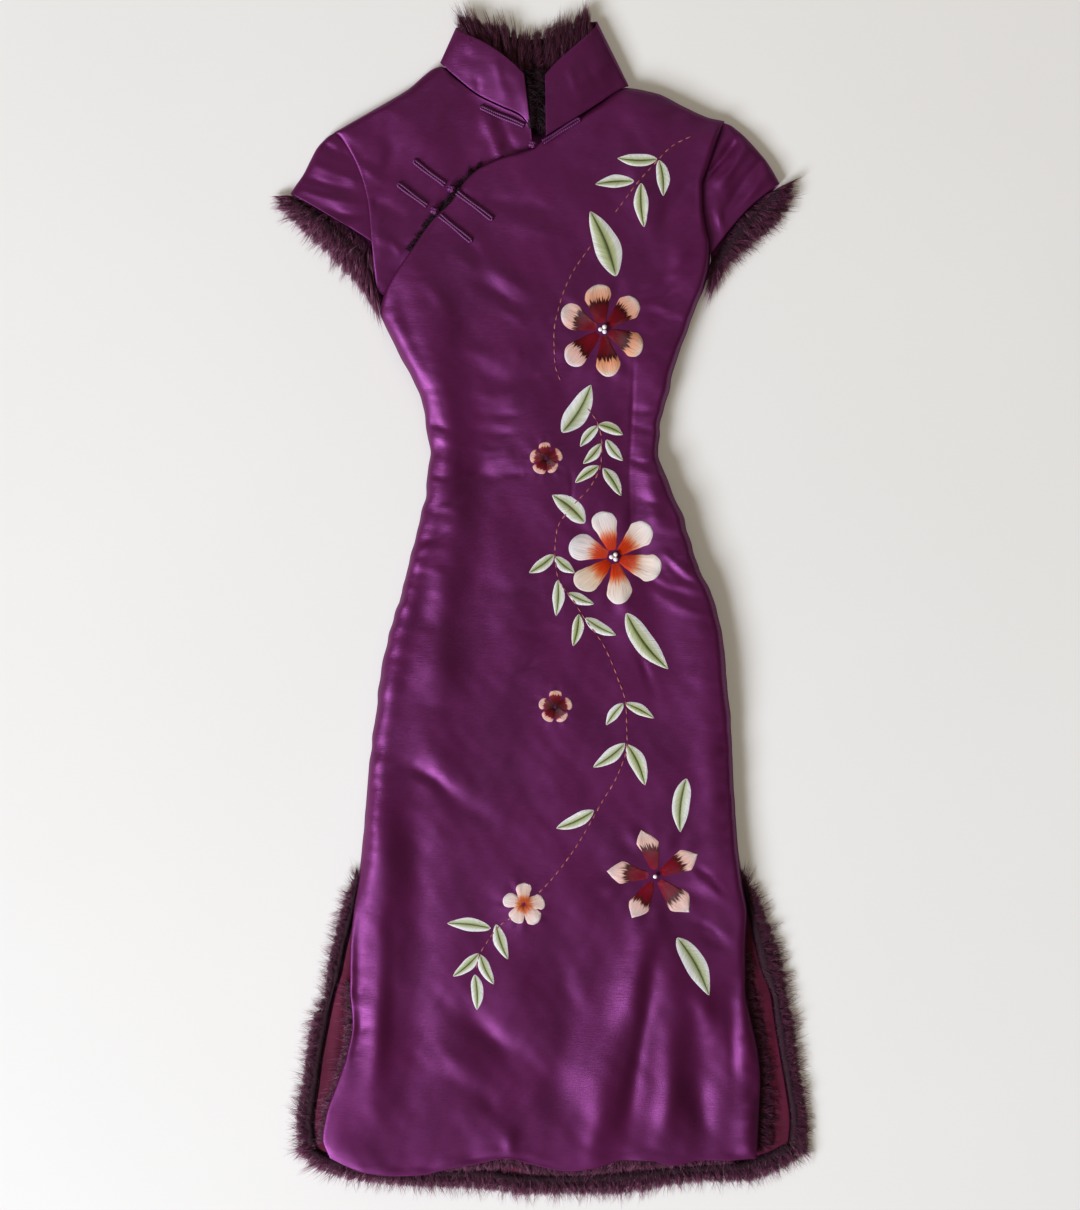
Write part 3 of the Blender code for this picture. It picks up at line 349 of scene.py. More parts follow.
# Troughs and ridges of the front that are finer than its solid's folds.
FRONT_CREASES = creases(
    (17, 2.7, -122, 330, -112, 289, -94, 206, -91, 150, -93, 68),
    (17, 3.5, -95, 40, -98, 0, -102, -56, -108, -104),
    (11, -1.2, -146, 322, -137, 289, -109, 206, -104, 150, -107, 68, -118, 0, -131, -56, -141, -110),
    (22, -3.0, -82, 300, -64, 220, -60, 140, -62, 60, -68, -20),
    (8, -2.0, -160, -170, -128, -163, -104, -176, -80, -200, -52, -216),
    (10, 0.7, -120, -142, -94, -164, -70, -184),
    (15, 4.0, -156, -190, -158, -280, -160, -380, -166, -500),
    (9, -1.6, -177, -190, -181, -280, -186, -380, -192, -480),
    (20, -2.8, -128, -200, -124, -300, -128, -400, -138, -520),
    (9, 1.7, -84, 348, -46, 332, -4, 308),
    (7, -1.2, -66, 326, -38, 308, -12, 288),
    (8, 1.1, -44, 296, -18, 286, 8, 288),
    (6, -1.5, -76, 132, -48, 128, -16, 131),
    (6, 1.0, -80, 146, -50, 144, -24, 148),
    (7, 0.9, -70, 212, -44, 206, -8, 212),
    (5, -1.1, -66, 192, -40, 188, -16, 190),
    (3.2, 1.2, 96, 300, 118, 298, 144, 289),
    (3.0, -1.2, 98, 292, 120, 288, 142, 282),
    (4.5, 0.9, 96, 316, 120, 326, 148, 330),
    (9, 1.5, 100, 150, 112, 110, 116, 66),
    (4.2, 1.5, 122, 52, 138, 38, 150, 30),
    (3.8, -1.3, 126, 40, 142, 26, 154, 20),
    (13, -2.8, -104, -392, -64, -422, -14, -462),
    (18, 2.0, -124, -440, -70, -464, -24, -502),
    (17, 5.0, 110, -306, 102, -350, 90, -395, 64, -485, 50, -548),
    (16, 4.4, 126, -326, 131, -400, 130, -485, 118, -550),
    (8, -2.6, 112, -350, 106, -400, 92, -480, 82, -545),
    (16, -2.4, 20, -360, 32, -410, 18, -480, 10, -540),
    (15, -4.2, 156, -430, 158, -490, 164, -548),
    (13, 2.0, 150, -372, 166, -410, 184, -440),
    (12, 3.2, 204, -380, 204, -460, 206, -540),
    (22, 3.2, 108, 176, 112, 140, 126, 90, 141, 40, 158, -20, 168, -80, 172, -160, 176, -280),
    (12, -1.4, 89, 210, 89, 130, 96, 60, 110, 0, 122, -60),
    (14, 1.6, 150, 300, 124, 262, 112, 216),
    (5.5, -1.1, -70, 176, -46, 170, -20, 172),
    (5.0, 0.9, -74, 156, -52, 152, -28, 155),
    (11, 1.2, -80, 258, -50, 246, -16, 250),
    (8, -1.0, -66, 232, -36, 222, 0, 226),
    (10, -1.1, -60, 20, -30, 12, 4, 18),
    (9, -1.1, -150, -300, -150, -400, -160, -500),
    (8, -0.9, -96, -470, -60, -490, -30, -520),
    (3.6, -1.0, -126, 182, -104, 178, -82, 170),
    (3.2, 0.8, -124, 170, -100, 163, -86, 160),
    (3.4, -1.0, -120, 132, -98, 126, -74, 126),
    (3.6, -0.9, -120, 96, -100, 100, -84, 104),
    (4.0, -0.8, -128, 58, -106, 66, -90, 78),
    (4.5, -1.0, -152, 226, -128, 214, -104, 214),
    (3.4, -1.1, 138, 254, 120, 248, 102, 250),
    (3.2, -1.0, 128, 198, 108, 192, 92, 194),
    (3.0, -0.9, 122, 172, 104, 174, 90, 180),
    (3.2, -1.0, 126, 144, 106, 140, 88, 144),
    (3.6, -0.8, 138, 106, 118, 100, 96, 104),
    (7, -1.2, -60, 404, -30, 400, 14, 392),
    (8, 1.1, -52, 384, -16, 378, 30, 366),
    (8, -1.1, -92, 372, -66, 352, -52, 318),
    (9, 1.2, -118, 330, -96, 300, -90, 262),
    (9, -0.9, 18, 440, 52, 426, 96, 424),
    (10, 1.0, 70, 470, 92, 440, 104, 402),
    (8, -1.2, 150, 420, 128, 398, 120, 360),
    (8, 1.0, 158, 380, 140, 356, 132, 322),
    (3.4, -1.1, 146, 318, 122, 306, 100, 300),
    (3.0, 1.0, 144, 286, 124, 288, 102, 291),
    (1.6, -0.6, 93, 254, 91, 190, 88, 130, 90, 60),
    (2.0, -0.6, 30, 132, 31, 118, 30, 100),
    (4.0, -1.3, 106, 26, 128, 14, 156, 6),
    (4.5, 1.0, 112, 12, 136, -2, 160, -10),
    (4.5, -0.8, 8, -54, -8, -60, -26, -70),
    (4.2, -1.0, 96, -46, 104, -66, 114, -90),
    (5.0, -0.7, -24, -26, -2, -29, 20, -26),
    (3.2, -1.2, 152, -262, 168, -272, 184, -292),
    (3.0, -1.0, 156, -318, 170, -324, 186, -340),
    (6.0, 0.9, 150, -264, 168, -282, 188, -296),
    (6.5, -1.2, 152, -318, 172, -336, 190, -346),
    (6.0, -1.0, 188, -380, 192, -440, 196, -520),
    (8.0, 1.3, -30, -556, -32, -530, -44, -500),
)

# Creases of the under panel, the sleeves and the collar.
UNDER_CREASES = creases(
    (5.5, 2.2, -58, 496, -50, 474, -42, 452, -34, 442),
    (5.0, -1.6, -42, 486, -34, 466, -26, 448),
    (9, 1.0, -96, 500, -110, 470, -132, 446),
    (8, -1.2, -150, 486, -150, 450, -160, 420),
    (6, 1.1, -182, 440, -160, 425, -138, 415),
    (5, -1.1, -176, 404, -156, 398, -136, 386),
    (5, 0.9, -168, 372, -150, 362, -138, 350),
)
SLEEVE_CREASES = creases(
    (4.2, 1.4, -228, 440, -204, 430, -182, 424),
    (3.6, -1.5, -232, 426, -208, 418, -186, 414),
    (4.2, 1.5, -236, 412, -206, 404, -178, 400),
    (4.0, -1.5, -226, 398, -200, 390, -180, 388),
    (3.8, 1.5, -214, 386, -196, 380, -178, 384),
    (5.0, -1.6, -220, 462, -206, 452, -192, 448),
    (4.2, -3.2, 196, 466, 182, 446, 166, 428),
    (5.5, 2.4, 206, 460, 192, 436, 174, 414),
    (5.0, -2.1, 222, 446, 204, 424, 184, 392),
    (5.0, 1.6, 232, 438, 216, 418, 200, 398),
    (3.6, 1.8, 176, 400, 178, 386, 184, 370),
)
COLLAR_CREASES = creases(
    (2.6, -0.9, -64, 526, -63, 517, -63, 510),
    (5.0, 0.8, -46, 546, -40, 520, -32, 500),
    (5.0, -0.7, -78, 562, -76, 546, -82, 534),
    (6.0, -0.8, 40, 556, 48, 534, 60, 512),
    (5.0, 0.8, 24, 544, 34, 518, 42, 500),
)
LINING_CREASES = creases(
    (5.0, 1.0, -196, -380, -208, -450, -214, -530),
    (3.5, -0.7, -188, -360, -198, -440, -204, -520),
    (5.0, 1.0, 212, -360, 226, -430, 236, -520),
    (3.5, -0.7, 220, -390, 232, -450, 244, -520),
)
BACK_CREASES = creases(
    (16, 0.8, -110, 300, -96, 150, -100, -40),
    (14, 0.7, 90, 330, 84, 150, 100, -60),
    (15, 0.8, -160, -80, -80, -190, 0, -240),
    (13, 0.6, 150, -60, 120, -160, 60, -250),
    (14, 0.8, -100, -400, 10, -440, 60, -520),
    (14, 0.7, 120, -320, 128, -430, 120, -550),
    (14, 0.6, -40, 470, -20, 400, -60, 330),
)


class PetalShape(Enum):
    """How a petal's outline closes at its tip."""

    ROUND = "round"
    POINTED = "pointed"


@dataclass(frozen=True)
class Flower:
    """An embroidered flower. Places and sizes are in millimetres, the first petal's turn in degrees."""

    name: str
    centre: tuple[float, float]
    petals: int
    turn: float
    reach: float
    half_width: float
    shape: PetalShape
    thread: str
    pearls: int


FLOWERS = (
    Flower("flower_upper", (62, 274), 6, 101, 46, 12.4, PetalShape.ROUND, "maroon_peach_thread", 3),
    Flower("flower_middle", (73, 47), 6, 101, 48, 13.6, PetalShape.ROUND, "orange_cream_thread", 3),
    Flower("flower_lower", (114, -272), 5, 98, 48, 11.6, PetalShape.POINTED, "garnet_pink_thread", 1),
    Flower("flower_small_left", (-17, -300), 5, 90, 21, 8.6, PetalShape.ROUND, "peach_orange_thread", 0),
    Flower("flower_small_waist", (5, 145), 5, 95, 16.5, 6.6, PetalShape.ROUND, "garnet_rim_thread", 0),
    Flower("flower_small_hip", (14, -103), 5, 88, 16.5, 6.6, PetalShape.ROUND, "garnet_rim_thread", 0),
)

# Embroidered leaves. Columns: stalk end x, y, tip x, y, half width, sideways bend.
LEAVES = (
    (116, 444, 76, 445, 6.0, 1.5), (118, 443, 122, 407, 6.2, 2.0),
    (93, 422, 54, 419, 6.0, -1.5), (100, 420, 103, 376, 6.6, -1.5),
    (75, 327, 49, 392, 12.0, -3.0), (21, 171, 50, 219, 10.5, -3.0),
    (57, 179, 82, 169, 5.4, 1.5), (57, 178, 39, 157, 5.0, -1.0),
    (65, 164, 82, 143, 5.2, -1.5), (60, 160, 42, 140, 5.0, 1.5),
    (58, 138, 34, 121, 5.0, -1.0), (62, 136, 80, 108, 6.0, 1.5),
    (44, 81, 11, 109, 9.0, -2.5), (13, 49, -12, 31, 5.6, 1.2),
    (14, 47, 34, 31, 5.4, -1.2), (17, 24, 15, -12, 5.6, 1.5),
    (27, 11, 53, 0, 5.0, -1.2), (38, -10, 32, -42, 5.4, 1.5),
    (44, -14, 75, -31, 5.6, -1.5), (85, -9, 127, -65, 10.0, -3.5),
    (82, -99, 65, -121, 5.0, -1.0), (84, -99, 113, -114, 5.0, 1.2),
    (84, -139, 52, -163, 6.4, 1.5), (86, -140, 104, -181, 7.6, 2.5),
    (53, -206, 15, -224, 6.4, 1.8), (145, -174, 139, -228, 8.4, -2.5),
    (136, -333, 168, -391, 10.0, 3.0), (-50, -324, -94, -319, 6.2, -1.5),
    (-45, -320, -33, -355, 6.0, -1.5), (-62, -349, -88, -372, 5.4, 1.5),
    (-61, -350, -47, -380, 5.4, -1.5), (-66, -370, -64, -406, 5.8, 1.5),
)

# Running stitches of the vine, in order along each of its stretches.
VINE_ROUTES = (
    ((150, 467), (132, 458), (114, 440), (96, 420), (84, 404), (72, 388)),
    ((50, 358), (30, 328), (19, 300), (13, 268), (14, 240), (21, 219)),
    ((46, 196), (57, 180), (61, 160), (60, 140), (50, 118), (30, 96), (16, 74), (14, 50), (17, 26),
     (32, 4), (46, -18), (62, -40), (76, -72), (85, -102), (86, -140), (76, -172), (62, -196),
     (34, -244), (8, -278), (-4, -290)),
    ((-28, -312), (-42, -322), (-54, -338), (-62, -352), (-66, -370)),
)
STITCH_LENGTH = 6.2
STITCH_GAP = 2.4
STITCH_WIDTH = 1.5


def smooth_through(knots: np.ndarray, values: np.ndarray, at: np.ndarray) -> np.ndarray:
    """Reads a smooth curve through rows of values, with no overshoot between them.

    Args:
        knots: the place of each row, rising.
        values: a row of values for each knot.
        at: the places to read.

    Returns:
        The values at each place.
    """
    knots, values, at = (np.asarray(item, float) for item in (knots, values, at))
    flat = values.reshape(len(values), -1)
    gaps = np.diff(knots)[:, None]
    rates = np.diff(flat, axis=0) / gaps
    slopes = np.zeros_like(flat)
    slopes[0] = rates[0]
    slopes[-1] = rates[-1]
    same_way = rates[:-1] * rates[1:] > 0.0
    total = np.where(same_way, rates[:-1] + rates[1:], 1.0)
    slopes[1:-1] = np.where(same_way, 2.0 * rates[:-1] * rates[1:] / total, 0.0)
    low = np.clip(np.searchsorted(knots, at, side="right") - 1, 0, len(knots) - 2)
    span = gaps[low]
    t = (at[:, None] - knots[low][:, None]) / span
    start = flat[low] * (2 * t**3 - 3 * t**2 + 1) + slopes[low] * span * (t**3 - 2 * t**2 + t)
    end = flat[low + 1] * (3 * t**2 - 2 * t**3) + slopes[low + 1] * span * (t**3 - t**2)
    return (start + end).reshape((len(at),) + values.shape[1:])


def rounded(distance: np.ndarray, radius: float) -> np.ndarray:
    """Gives the share of full height that a rounded edge has at a distance from it.

    Args:
        distance: how far each place is from the edge.
        radius: where the edge reaches its full height.

    Returns:
        Shares from 0 to 1.
    """
    near = np.clip(distance / radius, 0.0, 1.0)
    return np.sqrt(1.0 - (1.0 - near) ** 2)


def fade(distance: np.ndarray, reach: float) -> np.ndarray:
    """Falls softly from 1 at distance 0 to 0 at the reach.

    Args:
        distance: how far each place is.
        reach: where the value is 0.

    Returns:
        Values from 0 to 1.
    """
    t = np.clip(1.0 - distance / reach, 0.0, 1.0)
    return t * t * (3.0 - 2.0 * t)


def knots_along(points: np.ndarray) -> np.ndarray:
    """Measures a chain of points.

    Args:
        points: the chain, one point in each row.

    Returns:
        The distance of each point along it.
    """
    steps = np.sqrt((np.diff(points, axis=0) ** 2).sum(axis=1))
    return np.concatenate(((0.0,), np.cumsum(steps)))


def relief(creases: tuple[Crease, ...], x: np.ndarray, y: np.ndarray) -> np.ndarray:
    """Adds up the height of soft, uneven creases.

    Args:
        creases: the troughs and ridges.
        x: places across, in millimetres.
        y: places along, in millimetres.

    Returns:
        The height that they add at each place, in millimetres.
    """
    total = np.zeros_like(x)
    for number, crease in enumerate(creases):
        path = np.array(crease.path, float)
        starts = knots_along(path)
        nearest = np.full_like(x, np.inf)
        place = np.zeros_like(x)
        for first, second, start, end in zip(path, path[1:], starts, starts[1:]):
            run = (second - first) / (end - start)
            along = np.clip((x - first[0]) * run[0] + (y - first[1]) * run[1], 0.0, end - start)
            distance = np.hypot(x - first[0] - along * run[0], y - first[1] - along * run[1])
            closer = distance < nearest
            nearest = np.where(closer, distance, nearest)
            place = np.where(closer, (start + along) / starts[-1], place)
        uneven = 1.0 + 0.3 * np.sin(9.0 * place + number)
        width = crease.width * (1.0 + 0.25 * np.sin(7.0 * place + 2.0 * number))
        taper = np.sqrt(np.sin(math.pi * np.clip(place, 0.02, 0.98)))
        total += crease.height * uneven * taper * np.exp(-((nearest / width) ** 2))
    return total


def ripple(x: np.ndarray, y: np.ndarray, length: float, seed: int) -> np.ndarray:
    """Gives an irregular waviness with a mean square of about 1, longer waves being higher.

    Args:
        x: places across.
        y: places along.
        length: the typical wave length.
        seed: which of the possible patterns.

    Returns:
        A value for each place.
    """
    random = np.random.default_rng(seed)
    total = np.zeros_like(x)
    power = 0.0
    bend_x = x + 0.12 * length * np.sin(2.1 * y / length + seed)
    bend_y = y + 0.12 * length * np.sin(1.7 * x / length + seed)
    for _ in range(16):
        angle = random.uniform(0.0, math.pi)
        stretch = 0.55 * 4.5 ** random.uniform(0.0, 1.0)
        pace = 2.0 * math.pi / (length * stretch)
        turn = pace * (bend_x * math.cos(angle) + bend_y * math.sin(angle))
        total += stretch * np.sin(turn + random.uniform(0.0, 6.3))
        power += 0.5 * stretch**2
    return total / math.sqrt(power)


def stations(length: float, step: float, first: tuple[float, ...], last: tuple[float, ...]) -> np.ndarray:
    """Spaces rows of a grid: closer together at its ends, even between them.

    Args:
        length: the whole distance.
        step: the even spacing.
        first: distances at the start.
        last: distances from the end, nearest first.

    Returns:
        Distances from 0 to the length.
    """
    end = [length - distance for distance in reversed(last)]
    count = max(2, round((end[0] - first[-1]) / step))
    middle = np.linspace(first[-1], end[0], count + 1)
    return np.array(list(first[:-1]) + list(middle) + end[1:])


@dataclass(frozen=True)
class Spread:
    """Points of a panel in a grid, with each point's distance from the panel's four edges."""

    points: np.ndarray
    right: np.ndarray
    left: np.ndarray
    hem: np.ndarray
    top: np.ndarray

    def nearest(self) -> np.ndarray:
        """Gives each point's distance from the nearest edge.

        Returns:
            Distances in millimetres.
        """
        return np.minimum(np.minimum(self.right, self.left), np.minimum(self.hem, self.top))


class Panel:
    """A panel of cloth between two side edges, a hem line and a top line."""

    def __init__(self, rows: list, hem: tuple, top: tuple, rounding: tuple, spread: float = LINE_SPREAD):
        """Reads the panel's tables.

        Args:
            rows: right x, y, height, left x, y, height and loft, from the hem up.
            hem: points of the hem line.
            top: points of the top line.
            rounding: distances over which the right, left, hem and top edge round up.
            spread: distance over which a curved hem or top line bends the rows beside it.
        """
        table = np.array(rows, float)
        self.right = table[:, 0:3]
        self.left = table[:, 3:6]
        self.loft = table[:, 6]
        self.knots = knots_along((self.right + self.left)[:, :2] / 2.0)
        self.length = self.knots[-1]
        self.hem = np.array(hem, float)
        self.top = np.array(top, float)
        self.rounding = rounding
        self.spread = spread

    def lay(self, along: np.ndarray, across: np.ndarray) -> Spread:
        """Lays the panel's surface out.

        Args:
            along: distances from the hem.
            across: shares of the way from the right side to the left.

        Returns:
            The outer points and their distances from the edges.
        """
        right = smooth_through(self.knots, self.right, along)[:, None, :]
        left = smooth_through(self.knots, self.left, along)[:, None, :]
        loft = smooth_through(self.knots, self.loft, along)[:, None]
        spot = (right + (left - right) * across[None, :, None])[:, :, :2]
        from_hem = along[:, None]
        from_top = self.length - from_hem
        lines = []
        for table, distance in ((self.hem, from_hem), (self.top, from_top)):
            share = (table[:, 0] - table[0, 0]) / (table[-1, 0] - table[0, 0])
            line = smooth_through(share, table, across)
            chord = table[0] + (table[-1] - table[0]) * across[:, None]
            spot = spot + fade(distance, self.spread)[:, :, None] * (line - chord)[None, :, :2]
            lines.append(line)
        width = np.hypot(*(left - right)[:, :, :2].transpose(2, 0, 1))
        from_right = width * across[None, :]
        from_left = width - from_right
        from_hem = from_hem + 0.0 * width * across[None, :]
        from_top = from_top + 0.0 * from_hem
        edges = (
            (from_right, right[:, :, 2]),
            (from_left, left[:, :, 2]),
            (from_hem, lines[0][None, :, 2]),
            (from_top, lines[1][None, :, 2]),
        )
        rise = np.ones_like(from_right)
        weights = np.zeros_like(from_right)
        blend = np.zeros_like(from_right)
        for (distance, height), radius in zip(edges, self.rounding):
            rise = rise * rounded(distance, radius)
            weight = 1.0 / (distance + 0.5) ** 2
            weights = weights + weight
            blend = blend + weight * height
        edge_height = blend / weights
        height = edge_height + (loft - edge_height) * rise
        return Spread(np.dstack((spot, height)), from_right, from_left, from_hem, from_top)


def add_mesh(name: str, points: np.ndarray, faces: list) -> bpy.types.Object:
    """Puts a smooth mesh into the scene.

    Args:
        name: the object's name.
        points: its points in any arrangement, in millimetres.
        faces: for each face, the numbers of its corners.

    Returns:
        The new object.
    """
    mesh = bpy.data.meshes.new(name)
    mesh.from_pydata((points.reshape(-1, 3) * MM).tolist(), [], faces)
    mesh.shade_smooth()
    obj = bpy.data.objects.new(name, mesh)
    bpy.context.scene.collection.objects.link(obj)
    return obj


def grid_faces(rows: int, columns: int, start: int = 0) -> np.ndarray:
    """Lists the four-sided faces of a grid of points.

    Args:
        rows: how many rows it has.
        columns: how many points are in a row.
        start: the number of its first point.

    Returns:
        Four corners in each row.
    """
    corner = start + (np.arange(rows - 1)[:, None] * columns + np.arange(columns - 1)).ravel()
    return np.stack((corner, corner + 1, corner + columns + 1, corner + columns), axis=1)


def give_spots(obj: bpy.types.Object, spots: np.ndarray, faces: np.ndarray) -> None:
    """Stores where each point lies in its cloth, as the mesh's UVs in metres.

    Args:
        obj: the mesh object.
        spots: distances across and along for each point, in millimetres.
        faces: the mesh's faces.
    """
    layer = obj.data.uv_layers.new(name="cloth")
    layer.data.foreach_set("uv", (spots.reshape(-1, 2) * MM)[faces.ravel()].ravel())


def sheet_mesh(name: str, points: np.ndarray, flip: bool = False) -> bpy.types.Object:
    """Makes a smooth sheet through a grid of points. Its UVs are distances along it, in metres.

    Args:
        name: the object's name.
        points: rows of points, in millimetres.
        flip: whether the faces look the other way.

    Returns:
        The new object.
    """
    faces = grid_faces(*points.shape[:2])
    if flip:
        faces = faces[:, ::-1]
    obj = add_mesh(name, points, faces.tolist())
    across = np.array([knots_along(line) for line in points])
    along = np.array([knots_along(line) for line in points.transpose(1, 0, 2)]).T
    give_spots(obj, np.dstack((across, along)), faces)
    return obj


def give_values(obj: bpy.types.Object, name: str, values: np.ndarray) -> None:
    """Stores a number at each point of a mesh, for its material.

    Args:
        obj: the mesh object.
        name: the attribute's name.
        values: one number for each point.
    """
    layer = obj.data.attributes.new(name=name, type="FLOAT", domain="POINT")
    layer.data.foreach_set("value", np.asarray(values, np.float32).ravel())


def thicken(obj: bpy.types.Object, thickness: float) -> None:
    """Gives a sheet its thickness, inwards, with softened edges.

    Args:
        obj: the sheet.
        thickness: in millimetres.
    """
    solidify = obj.modifiers.new("thickness", "SOLIDIFY")
    solidify.thickness = thickness * MM
    solidify.offset = -1.0
    bevel = obj.modifiers.new("soft edge", "BEVEL")
    bevel.width = EDGE_SOFTNESS * thickness * MM
    bevel.segments = 2
    bevel.limit_method = "ANGLE"
    bevel.angle_limit = math.radians(EDGE_ANGLE)


def turn_edges(points: np.ndarray, drop: float, tuck: int) -> np.ndarray:
    """Adds the hem allowance that is turned under all round a fine grid.

    Args:
        points: the grid of outer points, in millimetres.
        drop: how far under the sheet the turned cloth lies.
        tuck: how many rows inwards it reaches.

    Returns:
        The larger grid.
    """
    for _ in range(2):
        below = np.array((0.0, 0.0, -drop))
        borders = []
        for edge, inner in ((points[0], points[tuck]), (points[-1], points[-1 - tuck])):
            outward = edge - inner
            outward[:, 2] = 0.0
            outward /= np.maximum(np.hypot(outward[:, 0], outward[:, 1]), TINY)[:, None]
            bulge = edge + 0.5 * below + outward * FOLD_BULGE * drop
            borders.append((inner + below, edge + below, bulge))
        first, last = borders
        points = np.concatenate((np.stack(first), points, np.stack(last[::-1])))
        points = points.transpose(1, 0, 2)
    return points


class Drape:
    """Finds the top of the cloth under any place, for what is sewn or laid on it."""

    def __init__(self, objects: list[bpy.types.Object]):
        """Reads the pieces of cloth.

        Args:
            objects: the pieces, with their modifiers.
        """
        graph = bpy.context.evaluated_depsgraph_get()
        self.trees = [BVHTree.FromObject(obj, graph) for obj in objects]

    def height(self, x: float, y: float) -> float:
        """Gives the highest cloth under one place.

        Args:
            x: millimetres across.
            y: millimetres along.

        Returns:
            The height in millimetres, or 0 where there is no cloth.
        """
        start = Vector((x * MM, y * MM, RAY_START))
        hits = (tree.ray_cast(start, Vector((0.0, 0.0, -1.0)))[0] for tree in self.trees)
        return max((hit.z / MM for hit in hits if hit), default=0.0)

    def heights(self, x: np.ndarray, y: np.ndarray) -> np.ndarray:
        """Gives the highest cloth under many places.

        Args:
            x: millimetres across.
            y: millimetres along.

        Returns:
            Heights in millimetres, in the same arrangement.
        """
        found = [self.height(a, b) for a, b in zip(x.ravel(), y.ravel())]
        return np.array(found).reshape(x.shape)


def settle(obj: bpy.types.Object, slot: str, *nodes: str) -> bpy.types.Object:
    """Fixes a finished piece to the garment's body.

    Args:
        obj: the piece.
        slot: the record's material slot; not used.
        nodes: the solids that it stands for.

    Returns:
        The same piece.
    """
    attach(obj, BODY)
    if nodes:
        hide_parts(*nodes)
    return obj


def srgb(code: str) -> tuple[float, float, float, float]:
    """Turns an sRGB hex colour into Blender's linear one.

    Args:
        code: six hex digits after a hash sign.

    Returns:
        Red, green, blue and 1.
    """
    shares = [int(code[place:place + 2], 16) / 255.0 for place in (1, 3, 5)]
    linear = [c / 12.92 if c <= 0.04045 else ((c + 0.055) / 1.055) ** 2.4 for c in shares]
    return (*linear, 1.0)


def set_inputs(tree: bpy.types.NodeTree, node: bpy.types.Node, inputs: dict) -> None:
    """Sets or links a node's inputs.

    Args:
        tree: the material's node tree.
        node: the node.
        inputs: values or output sockets, by the input's name or number.
    """
    for key, value in inputs.items():
        if isinstance(value, bpy.types.NodeSocket):
            tree.links.new(value, node.inputs[key])
        else:
            node.inputs[key].default_value = value


def add_node(tree: bpy.types.NodeTree, kind: str, inputs: dict | None = None, **settings) -> bpy.types.Node:
    """Adds a shader node.

    Args:
        tree: the material's node tree.
        kind: the node's Blender name.
        inputs: values or output sockets for its inputs, by name or number.
        settings: its properties.

    Returns:
        The new node.
    """
    node = tree.nodes.new(kind)
    for key, value in settings.items():
        setattr(node, key, value)
    set_inputs(tree, node, inputs or {})
    return node


def wave_scale(period: float) -> float:
    """Gives a Wave Texture's scale for a period.

    Args:
        period: the distance between crests, in millimetres.

    Returns:
        The scale for coordinates in metres.
    """
    return 2.0 * math.pi / (20.0 * period * MM)


Output = bpy.types.NodeSocket
SHEEN_ROUGHNESS = 0.4


